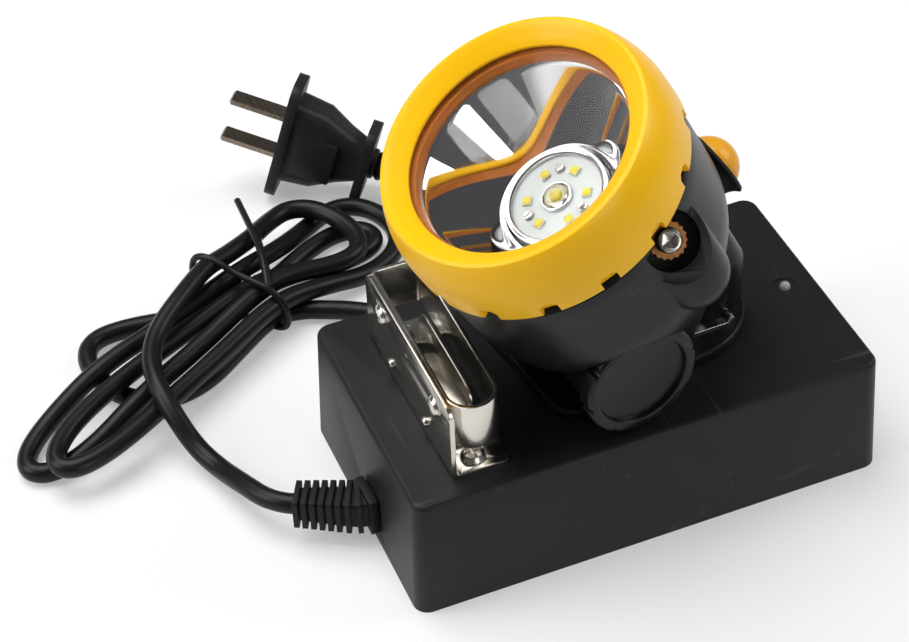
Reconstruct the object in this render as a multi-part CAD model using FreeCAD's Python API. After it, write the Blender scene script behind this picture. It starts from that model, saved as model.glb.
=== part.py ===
import FreeCAD, Part
import math
import os

V = FreeCAD.Vector

# Charger housing, in millimetres; the origin is the centre of its base, X runs along its length
charger_length = 130.0
charger_width = 75.2
charger_height = 36.0
charger_draft = 1.3
corner_radius = 4.0
top_edge_radius = 1.4
housing_wall = 2.4
foot_height = 0.8
foot_radius = 5.0
foot_recess = 0.8
cover_thickness = 2.2
cover_fit = 0.2
post_radius = 3.5
post_inset_x = 11.0
post_inset_y = 10.0
base_screw_radius = 1.45
base_screw_length = 9.0
base_head_radius = 2.8
base_head_height = 1.1
screw_fit = 0.05

# Electronics inside the charger
board_end_room = 17.0
board_length = charger_length - 2 * board_end_room
board_width = 54.0
board_thickness = 1.6
standoff_height = 4.0
standoff_radius = 2.6
standoff_pin_radius = 1.2
core_length = 25.0
core_width = 11.0
core_height = 20.0
core_leg = 6.0
winding_wall = 4.0
big_can_x = 10.0
big_can_y = 13.0
big_can_radius = 8.0
big_can_height = 20.0
small_can_x = 28.0
small_can_y = 10.0
small_can_spacing = 14.0
small_can_radius = 4.0
small_can_height = 12.0
sink_x = 14.0
sink_y = -19.0
sink_half_length = 11.0
sink_height = 20.0
sink_half_plate = 0.8
sink_fin_pitch = 5.1
sink_fin_reach = 5.0
sink_fin_width = 1.6
case_half_width = 5.0
case_foot = 6.0
case_height = 7.0
case_depth = 4.4
tab_height = 13.0
tab_depth = 1.3
led_inset = 10.0
led_x = charger_length / 2 - led_inset
led_y = -0.4
led_radius = 1.5
led_flange_radius = 1.9
led_flange_height = 1.0
led_leg = 0.5
led_spacer_radius = 2.6
led_dome_rise = 1.2
led_ring_radius = 3.2
led_ring_depth = 0.4

# Steel clip on the charger
clip_sheet = 1.2
clip_face_x = -51.4
clip_front_y = -30.0
clip_back_y = 27.0
clip_top_z = 59.0
clip_foot_reach = 15.9
clip_foot_width = 9.0
clip_screw_x = -44.1
clip_screw_inset = 4.6
foot_screw_radius = 1.5
foot_screw_head = 3.2
foot_screw_dome = 2.0
foot_screw_length = 8.0
loop_sheet = 1.1
loop_width = 13.7
loop_height = 13.5
loop_bottom_z = 44.5
loop_far_radius = 2.0
big_rivet_y = (16.3, -19.6)
big_rivet_z = 52.0
big_rivet_radius = 1.5
big_rivet_head = 3.0
small_rivet_y = (11.0, -12.0)
small_rivet_z = 39.7
small_rivet_radius = 0.9
small_rivet_head = 1.6
leaf_sheet = 0.6
leaf_gap_from_plate = 7.9
leaf_front_y = -22.0
leaf_back_y = 13.0
leaf_top_z = 55.0
leaf_foot_z = 37.2
leaf_joint_gap = 0.3

# Mains lead, its ribbed boot and its plug
cord_diameter = 5.5
cord_sides = 8
boot_y = -5.6
boot_z = 10.0
boot_length = 20.0
boot_turn = 28.0
boot_bend_length = 6.0
boot_collar_half = 5.6
boot_collar_length = 2.2
boot_flange_radius = 6.8
boot_neck_radius = 5.0
boot_wall_gap = 0.3
boot_rib_count = 8
boot_rib_start = 5.2
boot_rib_end = 4.5
boot_core_start = 4.1
boot_core_end = 3.1
boot_corner = 0.5
boot_rib_width = 1.35
cord_floor_z = 2.9
layer_step = 6.15
tie_lift = 2.4
tie_lift_reach = 11.0
hank_exit = (8.0, -12.5)
hank_exit_turn = -50.0
hank_x = -66.0
hank_y = 87.0
hank_turn = 24.0
tie_wire = 2.0
tie_corner = 4.6
tie_sides = 6
tie_slack = 1.4
plug_x = -38.4
plug_y = 136.2
plug_z = 19.8
plug_turn = -34.8
plug_tilt = 15.8
plug_roll = -10.5
plug_flange_length = 38.0
plug_flange_width = 15.0
plug_flange_thickness = 3.0
plug_body_length = 21.6
plug_collar_length = 3.0
plug_collar_height = 24.0
plug_collar_width = 14.0
plug_relief_length = 9.0
blade_pitch = 12.7
blade_width = 6.35
blade_thickness = 1.5
blade_length = 17.0
blade_root = 9.0

# Lamp: its frame stands on the charger's top, turned in plan; the beam leans back from vertical
lamp_yaw = 8.0
beam_lean = 28.2
head_x = 18.32
head_y = -1.84
plate_left_x = -22.5
plate_right_x = 21.5
plate_radius = 21.0
plate_thickness = 3.0
plate_corner = 6.0
plate_edge = 0.6
bell_wall = 2.4
bell_foot_radius = 12.0
bell_cone_radius = 31.5
bell_cone_top = 32.0
bell_shoulder_radius = 35.6
bell_shoulder = 46.0
bell_rim_radius = 36.4
bell_front = 69.7
cavity_floor = 38.5
neck_radius = 33.0
neck_wall = 2.4
neck_front = 79.8
bezel_radius = 37.5
bezel_back = 70.1
bezel_ridge_radius = 33.8
bezel_front = 89.8
bezel_mouth_radius = 28.5
bezel_lip = 86.3
bezel_fit = 0.08
bezel_step = 0.3
bezel_thread_pitch = 2.0
notch_count = 15
notch_start = -50.0
notch_width = 4.6
notch_depth = 2.4
notch_length = 4.2
lens_radius = 31.4
lens_thickness = 1.6
lens_gap = 0.1
lens_clearance = 0.4
gasket_inner = 27.6
gasket_thickness = 2.9
reflector_rim = 27.1
reflector_flange = 31.4
reflector_flange_thickness = 1.2
reflector_floor = 62.8
reflector_throat = 14.0
reflector_middle_radius = 21.4
reflector_middle = 73.0
reflector_wall = 1.2
led_board_radius = 13.2
led_board_thickness = 1.6
led_ring_inner = 11.9
led_ring_outer = 13.6
led_ring_height = 1.4
main_led_radius = 4.0
main_led_height = 2.8
main_lens_radius = 2.6
spreader_radius = 13.6
spreader_thickness = 3.6
pillar_count = 3
pillar_pitch = 10.0
pillar_radius = 2.0
pillar_shoulder_radius = 3.2
driver_radius = 20.0
choke_inner = 2.0
choke_outer = 4.6
choke_height = 4.2
choke_x = -12.0
choke_y = 6.0
chip_x = 2.0
chip_y = -15.0
chip_length = 7.0
chip_width = 5.5
chip_height = 1.8
driver_can_radius = 2.5
driver_can_height = 6.5
driver_can_x = 9.0
driver_can_y = 13.0
driver_thickness = 1.6
driver_height = 43.2
driver_hole_fit = 0.1
side_led_count = 6
side_led_start = 18.0
side_led_pitch = 7.9
side_led_width = 2.2
side_led_height = 0.8
board_screw_start = 49.0
board_screw_pitch = 8.2
board_screw_radius = 0.7
board_screw_head = 1.3
board_screw_length = 4.0
contact_u = 11.7
contact_y = -29.9
contact_s = 60.0
contact_lean = 46.0
boss_radius = 9.2
boss_back = 46.0
boss_offset = 0.6
boss_face = 2.2
recess_radius = 7.4
recess_floor = 1.84
recess_cut = 12.0
recess_wall = 1.5
washer_radius = 4.8
washer_thickness = 0.9
washer_teeth = 18
contact_head_radius = 3.1
contact_head_height = 4.9
contact_thread_pitch = 0.9
contact_thread_depth = 0.45
contact_shank_radius = 1.5
contact_shank_length = 9.0
tube_x = -6.2
tube_z = 16.3
tube_radius = 13.5
tube_front_y = -28.0
tube_end_wall = 2.5
tube_end_round = 2.0
cell_radius = 9.2
cell_length = 65.0
cell_play = 0.3
cell_front_gap = 1.6
tube_contact_room = 2.5
tube_back_y = tube_front_y + cell_front_gap + cell_length + tube_contact_room + tube_end_wall
cell_button_radius = 3.2
cell_button_height = 1.0
cap_radius = 15.6
cap_thickness = 4.3
cap_recess_radius = 12.6
cap_recess_depth = 1.6
cap_spigot_radius = 11.2
cap_spigot_wall = 1.5
cap_spigot_length = 5.0
cap_fit = 0.08
cap_notch_count = 8
cap_notch_start = -57.0
cap_notch_radius = 1.3
cap_edge = 0.6
cap_room_gap = 0.5
seal_groove = 1.0
seal_inner = 11.6
seal_outer = 13.1
seal_fit = 0.1
switch_s = 33.4
switch_seat_u = 29.0
switch_neck_top_u = 31.8
switch_rim_u = 36.8
switch_neck_radius = 7.6
switch_neck_fit = 0.05
switch_rim_radius = 10.0
switch_cup_floor_u = 33.0
button_radius = 7.0
button_back_u = 35.0
button_edge_u = 37.6
button_apex_u = 42.0
button_travel = 1.5
button_fit = 0.3
stem_radius = 3.4
spring_outer = 6.2
spring_inner = 4.2
spring_sheet = 0.2
tact_size = 6.0
tact_room_back_u = 23.9
tact_body = 3.4
tact_plunger_radius = 1.7
tact_clearance = 0.1
back_cover_left = 24.0
back_cover_right = 40.5
back_cover_half = 10.5
back_cover_round = 7.0
back_wall_top = 19.0
back_top = 34.0
back_top_right = 33.0
back_top_half = 7.0
back_gap = 0.12
plate_screws = ((8.0, 12.0), (8.0, -12.0), (34.0, 6.0), (34.0, -6.0))
plate_screw_radius = 1.25
plate_screw_length = 9.0
plate_screw_head = 2.5
plate_screw_head_height = 1.2
strip_sheet = 0.7
strip_left = (20.0, -11.6)
strip_right = (32.6, -13.1)
strip_width = 4.0
strip_curl = 1.1

# Derived heights and places
inside_top = charger_height - housing_wall
cover_top = foot_height + cover_thickness
board_z = cover_top + standoff_height
board_top = board_z + board_thickness
cord_radius = cord_diameter / 2


def box(x0, x1, y0, y1, z0, z1):
    return Part.makeBox(x1 - x0, y1 - y0, z1 - z0, V(x0, y0, z0))


def cylinder(radius, length, base, axis=V(0, 0, 1)):
    return Part.makeCylinder(radius, length, base, axis)


def rounded_outline(length, width, radius, z, x=0.0, y=0.0):
    """Closed wire of a rectangle with round corners, centred on x, y."""
    a, b, r = length / 2, width / 2, radius
    d = r * (1 - math.sqrt(0.5))
    corners = ((a, b, 1, 1), (-a, b, -1, 1), (-a, -b, -1, -1), (a, -b, 1, -1))
    edges, ends = [], []
    for cx, cy, sx, sy in corners:
        along_x = V(x + cx - sx * r, y + cy, z)
        along_y = V(x + cx, y + cy - sy * r, z)
        middle = V(x + cx - sx * d, y + cy - sy * d, z)
        first, last = (along_y, along_x) if sx * sy > 0 else (along_x, along_y)
        ends.append((first, last))
        edges.append(Part.Arc(first, middle, last).toShape())
    lines = []
    for i in range(4):
        lines.append(Part.LineSegment(ends[i][1], ends[(i + 1) % 4][0]).toShape())
    ordered = [edge for pair in zip(edges, lines) for edge in pair]
    return Part.Wire(ordered)


def prism(wire, height, direction=V(0, 0, 1)):
    return Part.Face(wire).extrude(direction * height)


def turned(profile, arcs=()):
    """Solid of revolution about Z from (radius, height) points.

    An arc (i, (radius, height)) bows the run that leaves point i through that middle point.
    """
    bows = dict(arcs)
    edges = []
    for i, (r0, z0) in enumerate(profile):
        r1, z1 = profile[(i + 1) % len(profile)]
        start, end = V(r0, 0, z0), V(r1, 0, z1)
        if i in bows:
            edges.append(Part.Arc(start, V(bows[i][0], 0, bows[i][1]), end).toShape())
        else:
            edges.append(Part.LineSegment(start, end).toShape())
    return Part.Face(Part.Wire(edges)).revolve(V(0, 0, 0), V(0, 0, 1), 360)


def dome(radius, edge_z, top_z):
    """Middle point of the arc from (radius, edge_z) to (0, top_z) of a sphere centred on the axis."""
    rise = top_z - edge_z
    sphere = (radius * radius + rise * rise) / (2 * rise)
    half = math.asin(min(1.0, radius / abs(sphere))) / 2
    return (abs(sphere) * math.sin(half), top_z - sphere * (1 - math.cos(half)))


def aim(shape, base, axis):
    """Moves a shape made along Z so that Z runs along axis from base."""
    shape.Placement = FreeCAD.Placement(base, FreeCAD.Rotation(V(0, 0, 1), axis))
    return shape


def save(name, *solids):
    shape = solids[0] if len(solids) == 1 else Part.makeCompound(list(solids))
    shape.exportStep("parts/" + name + ".step")


# Places of the lamp and of its head
lamp_frame = FreeCAD.Placement(V(0, 0, charger_height), FreeCAD.Rotation(V(0, 0, 1), lamp_yaw))
head_frame = FreeCAD.Placement(V(head_x, head_y, 0), FreeCAD.Rotation(V(0, 1, 0), -beam_lean))


def in_lamp(shape):
    """Copy of a shape from the lamp's own frame at its place on the charger."""
    moved = shape.copy()
    moved.Placement = lamp_frame.multiply(moved.Placement)
    return moved


def in_head(shape):
    """Copy of a shape from the head's frame (Z along the beam) in the lamp's frame."""
    moved = shape.copy()
    moved.Placement = head_frame.multiply(moved.Placement)
    return moved


def save_lamp(name, *solids):
    save(name, *[in_lamp(solid) for solid in solids])


# Charger housing and cover
def charger_shell(inset, z0, z1):
    """Tapered block of the charger, drawn in by inset, between two heights."""
    wires = []
    for z in (z0, z1):
        shrink = 2 * (inset + charger_draft * z / charger_height)
        radius = max(corner_radius - inset, 0.8)
        wires.append(rounded_outline(charger_length - shrink, charger_width - shrink, radius, z))
    return Part.makeLoft(wires, True, True)


post_x = charger_length / 2 - post_inset_x
post_y = charger_width / 2 - post_inset_y
post_places = [(sx * post_x, sy * post_y) for sx in (-1, 1) for sy in (-1, 1)]
clip_rear_foot_y = clip_back_y - clip_foot_width
clip_screws = [(clip_screw_x, clip_front_y + clip_screw_inset),
               (clip_screw_x, clip_back_y - clip_screw_inset)]
wall_face_x = -(charger_length / 2 - charger_draft * boot_z / charger_height)


def make_housing():
    outer = charger_shell(0.0, 0.0, charger_height)
    rim = [edge for edge in outer.Edges
           if all(abs(vertex.Z - charger_height) < 0.01 for vertex in edge.Vertexes)]
    outer = outer.makeFillet(top_edge_radius, rim)
    body = outer.cut(charger_shell(housing_wall, 0.0, inside_top))
    pilot = base_screw_radius + screw_fit
    for x, y in post_places:
        body = body.fuse(cylinder(post_radius, inside_top - cover_top + 0.5, V(x, y, cover_top)))
    for x, y in clip_screws:
        body = body.fuse(cylinder(post_radius, foot_screw_length,
                                  V(x, y, charger_height - foot_screw_length - 1)))
    for x, y in post_places:
        body = body.cut(cylinder(pilot, base_screw_length + 1, V(x, y, cover_top - 0.5)))
    for x, y in clip_screws:
        body = body.cut(cylinder(foot_screw_radius + screw_fit, foot_screw_length,
                                 V(x, y, charger_height - foot_screw_length + 1)))
    led_hole = cylinder(led_radius + screw_fit, housing_wall + 2, V(led_x, led_y, inside_top - 1))
    led_ring = cylinder(led_ring_radius, led_ring_depth + 1, V(led_x, led_y, charger_height - led_ring_depth))
    boot_hole = cylinder(boot_neck_radius + screw_fit, housing_wall + 4,
                         V(wall_face_x - 1, boot_y, boot_z), V(1, 0, 0))
    return body.cut(led_hole).cut(led_ring).cut(boot_hole).removeSplitter()


def make_cover():
    body = charger_shell(housing_wall + cover_fit, foot_height, cover_top)
    for x in (-1, 1):
        for y in (-1, 1):
            place = V(x * (board_length / 2 - 5), y * (board_width / 2 - 5), cover_top)
            body = body.fuse(cylinder(standoff_radius, standoff_height, place))
            body = body.fuse(cylinder(standoff_pin_radius, standoff_height + 3.2, place))
            foot = V(x * (post_x - 12), y * (post_y - 1), foot_height)
            body = body.cut(cylinder(foot_radius + screw_fit, foot_recess, foot))
    for x, y in post_places:
        body = body.cut(cylinder(base_screw_radius + 0.15, cover_thickness, V(x, y, foot_height)))
        body = body.cut(cylinder(base_head_radius + 0.3, base_head_height + 0.1, V(x, y, foot_height)))
    return body


def make_base_screw(x, y):
    head_z = foot_height + 0.1
    head = turned([(0, head_z), (base_head_radius - 0.4, head_z), (base_head_radius, head_z + 0.4),
                   (base_head_radius, head_z + base_head_height), (0, head_z + base_head_height)])
    shank = turned([(0, head_z + base_head_height), (base_screw_radius, head_z + base_head_height),
                    (base_screw_radius, head_z + base_screw_length - 1),
                    (0.4, head_z + base_screw_length), (0, head_z + base_screw_length)])
    cross = box(-2.0, 2.0, -0.3, 0.3, head_z, head_z + 0.6).fuse(
        box(-0.3, 0.3, -2.0, 2.0, head_z, head_z + 0.6))
    screw = head.fuse(shank).cut(cross)
    screw.translate(V(x, y, 0))
    return screw


def make_rubber_feet():
    feet = []
    for x in (-1, 1):
        for y in (-1, 1):
            foot = turned([(0, 0), (foot_radius - 0.4, 0), (foot_radius, 0.4),
                           (foot_radius, foot_height + foot_recess), (0, foot_height + foot_recess)])
            foot.translate(V(x * (post_x - 12), y * (post_y - 1), 0))
            feet.append(foot)
    return feet


def make_circuit_board():
    board = prism(rounded_outline(board_length, board_width, 2.0, board_z), board_thickness)
    for x in (-1, 1):
        for y in (-1, 1):
            hole = V(x * (board_length / 2 - 5), y * (board_width / 2 - 5), board_z - 1)
            board = board.cut(cylinder(standoff_pin_radius + 0.1, board_thickness + 2, hole))
    for y in (-1, 1):
        board = board.cut(cylinder(0.45, board_thickness + 2, V(led_x - 9, led_y + y * 1.27, board_z - 1)))
    return board


def make_transformer():
    x, y = -18.0, 6.0
    a, b, h, leg = core_length / 2, core_width / 2, core_height, core_leg
    z = board_top + 1.0
    core = box(x - a, x + a, y - b, y + b, z, z + h)
    window = (core_length - 3 * leg) / 2 + leg / 2
    for side in (-1, 1):
        x0 = x + (leg / 2 if side > 0 else -leg / 2 - window)
        core = core.cut(box(x0, x0 + window, y - b - 1, y + b + 1, z + leg / 2, z + h - leg / 2))
    bobbin_z = z + leg / 2 + 0.1
    height = h - leg - 0.2
    coil = prism(rounded_outline(leg + 2 * winding_wall - 0.4, core_width + 2 * winding_wall, 3.0,
                                 bobbin_z, x, y), height)
    coil = coil.cut(box(x - leg / 2 - 0.1, x + leg / 2 + 0.1, y - b - 0.1, y + b + 0.1,
                        bobbin_z - 1, bobbin_z + height + 1))
    pins = box(x - a, x + a, y - b - 2, y - b + 1, board_top, z)
    pins = pins.fuse(box(x - a, x + a, y + b - 1, y + b + 2, board_top, z))
    frame = pins.fuse(box(x - a, x + a, y - b - 2, y + b + 2, z - 0.5, z))
    return core, coil, frame


def make_capacitor(x, y, radius, height):
    can = turned([(0, board_top), (radius - 0.6, board_top), (radius, board_top + 0.6),
                  (radius, board_top + 1.6), (radius - 0.5, board_top + 2.1), (radius, board_top + 2.6),
                  (radius, board_top + height - 0.8), (radius - 0.8, board_top + height),
                  (0, board_top + height)])
    can.translate(V(x, y, 0))
    return can


def make_heat_sink():
    """Finned plate on the board and the transistor whose tab lies against it."""
    x, y, z = sink_x, sink_y, board_top
    plate = box(x - sink_half_length, x + sink_half_length, y - sink_half_plate, y + sink_half_plate,
                z, z + sink_height)
    for k in range(5):
        fin_x = x - sink_half_length + k * sink_fin_pitch
        plate = plate.fuse(box(fin_x, fin_x + sink_fin_width, y - sink_fin_reach, y - sink_half_plate,
                               z, z + sink_height))
    face = y + sink_half_plate
    foot = z + case_foot
    tab = box(x - case_half_width, x + case_half_width, face, face + tab_depth, foot, foot + tab_height)
    case = box(x - case_half_width, x + case_half_width, face, face + case_depth, foot, foot + case_height)
    legs = [box(x + k * 2.54 - 0.4, x + k * 2.54 + 0.4, face + 1.7, face + 2.2, z, foot) for k in (-1, 0, 1)]
    return plate, tab.fuse(case).fuse(legs)


def make_indicator():
    """Dome LED in the charger's top, its legs and the spacer that holds it up."""
    flange_z = inside_top - led_flange_height
    dome_top = charger_height + led_dome_rise
    led = turned([(0, flange_z), (led_flange_radius, flange_z), (led_flange_radius, inside_top),
                  (led_radius, inside_top), (led_radius, charger_height - 0.2), (0, dome_top)],
                 [(4, dome(led_radius, charger_height - 0.2, dome_top))])
    legs = [box(side * 1.27 - led_leg / 2, side * 1.27 + led_leg / 2, -led_leg / 2, led_leg / 2,
                cover_top + 3.0, flange_z) for side in (-1, 1)]
    led = led.fuse(legs)
    spacer = cylinder(led_spacer_radius, flange_z - cover_top - 0.1, V(0, 0, cover_top + 0.05))
    for side in (-1, 1):
        spacer = spacer.cut(box(side * 1.27 - 0.35, side * 1.27 + 0.35, -0.35, 0.35,
                                cover_top + 2.8, flange_z + 1))
    for shape in (led, spacer):
        shape.translate(V(led_x, led_y, 0))
    return led, spacer


# Steel clip
clip_inner_x = clip_face_x + clip_sheet
loop_left_x = clip_inner_x
loop_right_x = loop_left_x + loop_width
leaf_x = clip_inner_x + leaf_gap_from_plate
leaf_foot_end_x = leaf_x - leaf_sheet / 2 - leaf_joint_gap


def make_hook_holder():
    """Upright plate with two feet bent out of its foot, in one sheet."""
    z0 = charger_height
    plate = box(clip_face_x, clip_inner_x, clip_front_y, clip_back_y, z0 + 0.4, clip_top_z)
    top = [edge for edge in plate.Edges
           if abs(edge.Vertexes[0].Z - edge.Vertexes[-1].Z) < 0.01
           and abs(edge.Vertexes[0].Y - edge.Vertexes[-1].Y) < 0.01 and edge.Vertexes[0].Z > z0 + 5]
    plate = plate.makeFillet(4.0, top)
    for y0 in (clip_front_y, clip_rear_foot_y):
        outer, inner = clip_sheet + 0.6, 0.6
        bend = clip_face_x + outer
        middle = outer * (1 - math.sqrt(0.5))
        edges = [
            Part.LineSegment(V(clip_face_x, y0, z0 + outer + 3), V(clip_face_x, y0, z0 + outer)).toShape(),
            Part.Arc(V(clip_face_x, y0, z0 + outer), V(clip_face_x + middle, y0, z0 + middle),
                     V(bend, y0, z0)).toShape(),
            Part.LineSegment(V(bend, y0, z0), V(clip_face_x + clip_foot_reach, y0, z0)).toShape(),
            Part.LineSegment(V(clip_face_x + clip_foot_reach, y0, z0),
                             V(clip_face_x + clip_foot_reach, y0, z0 + clip_sheet)).toShape(),
            Part.LineSegment(V(clip_face_x + clip_foot_reach, y0, z0 + clip_sheet),
                             V(bend, y0, z0 + clip_sheet)).toShape(),
            Part.Arc(V(bend, y0, z0 + clip_sheet),
                     V(bend - inner * math.sqrt(0.5), y0, z0 + outer - inner * math.sqrt(0.5)),
                     V(clip_inner_x, y0, z0 + outer)).toShape(),
            Part.LineSegment(V(clip_inner_x, y0, z0 + outer), V(clip_inner_x, y0, z0 + outer + 3)).toShape(),
            Part.LineSegment(V(clip_inner_x, y0, z0 + outer + 3),
                             V(clip_face_x, y0, z0 + outer + 3)).toShape()]
        slot = box(clip_face_x - 1, clip_inner_x + 1, y0, y0 + clip_foot_width, z0, z0 + outer + 3)
        foot = Part.Face(Part.Wire(edges)).extrude(V(0, clip_foot_width, 0))
        tip = [edge for edge in foot.Edges
               if all(abs(vertex.X - clip_face_x - clip_foot_reach) < 0.01 for vertex in edge.Vertexes)
               and abs(edge.Vertexes[0].Z - edge.Vertexes[-1].Z) > 0.5]
        foot = foot.makeFillet(2.5, tip)
        plate = plate.cut(slot).fuse(foot)
    for x, y in clip_screws:
        plate = plate.cut(cylinder(foot_screw_radius + 0.2, clip_sheet + 2, V(x, y, z0 - 1)))
    return plate.cut(rivet_holes()).removeSplitter()


def rivet_holes():
    """Clearance holes for all four rivets, along X."""
    tools = []
    for y in big_rivet_y:
        tools.append(cylinder(big_rivet_radius + screw_fit, clip_sheet + loop_sheet + 2,
                              V(clip_face_x - 1, y, big_rivet_z), V(1, 0, 0)))
    for y in small_rivet_y:
        tools.append(cylinder(small_rivet_radius + screw_fit, clip_sheet + leaf_sheet + 2,
                              V(clip_face_x - 1, y, small_rivet_z), V(1, 0, 0)))
    return Part.makeCompound(tools)


def loop_outline(inset, z):
    """Plan of the loop: round at the front, square at the far end."""
    x0, x1 = loop_left_x + inset, loop_right_x - inset
    radius = loop_width / 2 - inset
    turn_y = clip_front_y + loop_width / 2
    far_y = clip_back_y - inset
    corner = max(loop_far_radius - inset, 0.6)
    bow = corner * (1 - math.sqrt(0.5))
    middle = (x0 + x1) / 2
    edges = [
        Part.Arc(V(x0, turn_y, z), V(middle, turn_y - radius, z), V(x1, turn_y, z)).toShape(),
        Part.LineSegment(V(x1, turn_y, z), V(x1, far_y - corner, z)).toShape(),
        Part.Arc(V(x1, far_y - corner, z), V(x1 - bow, far_y - bow, z), V(x1 - corner, far_y, z)).toShape(),
        Part.LineSegment(V(x1 - corner, far_y, z), V(x0 + corner, far_y, z)).toShape(),
        Part.Arc(V(x0 + corner, far_y, z), V(x0 + bow, far_y - bow, z), V(x0, far_y - corner, z)).toShape(),
        Part.LineSegment(V(x0, far_y - corner, z), V(x0, turn_y, z)).toShape()]
    return Part.Wire(edges)


def make_holder_loop():
    ring = prism(loop_outline(0.0, loop_bottom_z), loop_height)
    ring = ring.cut(prism(loop_outline(loop_sheet, loop_bottom_z - 1), loop_height + 2))
    return ring.cut(rivet_holes())


def make_leaf():
    """Spring leaf: its riveted foot, and the blade that flexes about the foot's end."""
    y0, y1 = leaf_front_y, leaf_back_y
    foot_top = small_rivet_z + 2.4
    foot = box(clip_inner_x, clip_inner_x + leaf_sheet, y0 + 6, y1, leaf_foot_z, foot_top)
    run = box(clip_inner_x, leaf_foot_end_x, y0 + 6, y1, leaf_foot_z, leaf_foot_z + leaf_sheet)
    foot = foot.fuse(run).cut(rivet_holes()).removeSplitter()
    x0, x1 = leaf_x - leaf_sheet / 2, leaf_x + leaf_sheet / 2
    blade = box(x0, x1, y0, y1, leaf_foot_z, leaf_top_z)
    rounded = [edge for edge in blade.Edges
               if abs(edge.Vertexes[0].X - edge.Vertexes[-1].X) > 0.1 and edge.Vertexes[0].Z > leaf_top_z - 0.1]
    blade = blade.makeFillet(6.0, rounded)
    return foot, blade


def make_rivet(y, z, radius, head, grip, rise, tail):
    """Domed rivet along X: its head stands on the plate's outer face."""
    rivet = turned([(0, -rise), (head * 0.45, -rise * 0.9), (head * 0.8, -rise * 0.6), (head, 0), (radius, 0),
                    (radius, grip), (tail, grip), (tail * 0.8, grip + 0.5), (0, grip + 0.5)])
    return aim(rivet, V(clip_face_x, y, z), V(1, 0, 0))


def make_foot_screw(x, y):
    z = charger_height + clip_sheet
    screw = turned([(0, z - foot_screw_length + 2.2), (0.5, z - foot_screw_length + 2.2),
                    (foot_screw_radius, z - foot_screw_length + 3.4), (foot_screw_radius, z),
                    (foot_screw_head, z), (foot_screw_head, z + 0.5),
                    (foot_screw_head * 0.72, z + foot_screw_dome * 0.82), (0, z + foot_screw_dome)])
    slot = box(-2.2, 2.2, -0.4, 0.4, z + foot_screw_dome - 0.9, z + foot_screw_dome + 1)
    slot = slot.fuse(box(-0.4, 0.4, -2.2, 2.2, z + foot_screw_dome - 0.9, z + foot_screw_dome + 1))
    screw = screw.cut(slot)
    screw.translate(V(x, y, 0))
    return screw


# Strain relief: a neck through the wall, a square collar and square ribs on a tapered core
boot_start = V(wall_face_x, boot_y, boot_z)


def boot_station(along):
    """Point and heading on the boot's centre line, and the share of the taper done there."""
    bend = math.radians(boot_turn)
    swing = bend * min(1.0, along / boot_bend_length)
    reach = boot_bend_length / bend
    heading = V(-math.cos(swing), math.sin(swing), 0)
    point = boot_start + V(-reach * math.sin(swing), reach * (1 - math.cos(swing)), 0)
    share = (along - boot_collar_length) / (boot_length - boot_collar_length)
    return point + heading * max(0.0, along - boot_bend_length), heading, max(0.0, share)


boot_end, boot_direction, boot_taper = boot_station(boot_length)


def square_wire(centre, heading, half):
    """Square across the heading, two sides upright, its corners cut."""
    across, up = V(-heading.y, heading.x, 0), V(0, 0, 1)
    short = half - boot_corner
    corners = []
    for first, second in ((half, short), (short, half), (-short, half), (-half, short),
                          (-half, -short), (-short, -half), (short, -half), (half, -short)):
        corners.append(centre + across * first + up * second)
    return Part.makePolygon(corners + corners[:1])


def make_boot():
    inner_x = wall_face_x + housing_wall
    body = cylinder(boot_neck_radius, housing_wall + 2 * boot_wall_gap + 0.2,
                    V(wall_face_x - boot_wall_gap - 0.1, boot_y, boot_z), V(1, 0, 0))
    body = body.fuse(cylinder(boot_flange_radius, 1.6,
                              V(inner_x + boot_wall_gap, boot_y, boot_z), V(1, 0, 0)))
    collar = prism(square_wire(V(wall_face_x - boot_wall_gap, boot_y, boot_z), V(-1, 0, 0), boot_collar_half),
                   boot_collar_length, V(-1, 0, 0))
    body = body.fuse(collar)
    stations = [boot_station(along) for along in (1.0, 2.6, 4.3, boot_bend_length, boot_length)]
    halves = [boot_core_start + (boot_core_end - boot_core_start) * share for _, _, share in stations]
    core = Part.makeLoft([square_wire(point, heading, half)
                          for (point, heading, _), half in zip(stations, halves)], True, True)
    body = body.fuse(core)
    pitch = (boot_length - boot_collar_length) / boot_rib_count
    for index in range(1, boot_rib_count + 1):
        point, heading, share = boot_station(boot_collar_length + pitch * index - boot_rib_width)
        half = boot_rib_start + (boot_rib_end - boot_rib_start) * share
        body = body.fuse(prism(square_wire(point, heading, half), boot_rib_width, heading))
    return body


# Mains lead: straight runs joined by tangent arcs
def cord_path(points):
    """Wire of runs and arcs through the points, and the radius of each arc."""
    edges, radii = [], []
    last = points[0]
    for before, corner, after in zip(points, points[1:], points[2:]):
        back, ahead = before - corner, after - corner
        shorter = min(back.Length, ahead.Length)
        back.normalize()
        ahead.normalize()
        half = (math.pi - back.getAngle(ahead)) / 2
        trim = 0.45 * shorter
        radius = trim / math.tan(half)
        start, end = corner + back * trim, corner + ahead * trim
        inward = back + ahead
        inward.normalize()
        middle = corner + inward * (radius / math.cos(half) - radius)
        edges.append(Part.LineSegment(last, start).toShape())
        edges.append(Part.Arc(start, middle, end).toShape())
        radii.append(radius)
        last = end
    edges.append(Part.LineSegment(last, points[-1]).toShape())
    return Part.Wire(edges), radii


def flat_sided(start, direction, radius, sides):
    """Closed section square to direction, with the area of a circle of that radius."""
    sector = 2 * math.pi / sides
    reach = radius * math.sqrt(sector / math.sin(sector))
    turn = FreeCAD.Rotation(V(0, 0, 1), direction)
    corners = [start + turn.multVec(V(reach * math.cos(sector * k), reach * math.sin(sector * k), 0))
               for k in range(sides)]
    return Part.makePolygon(corners + corners[:1])


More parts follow.
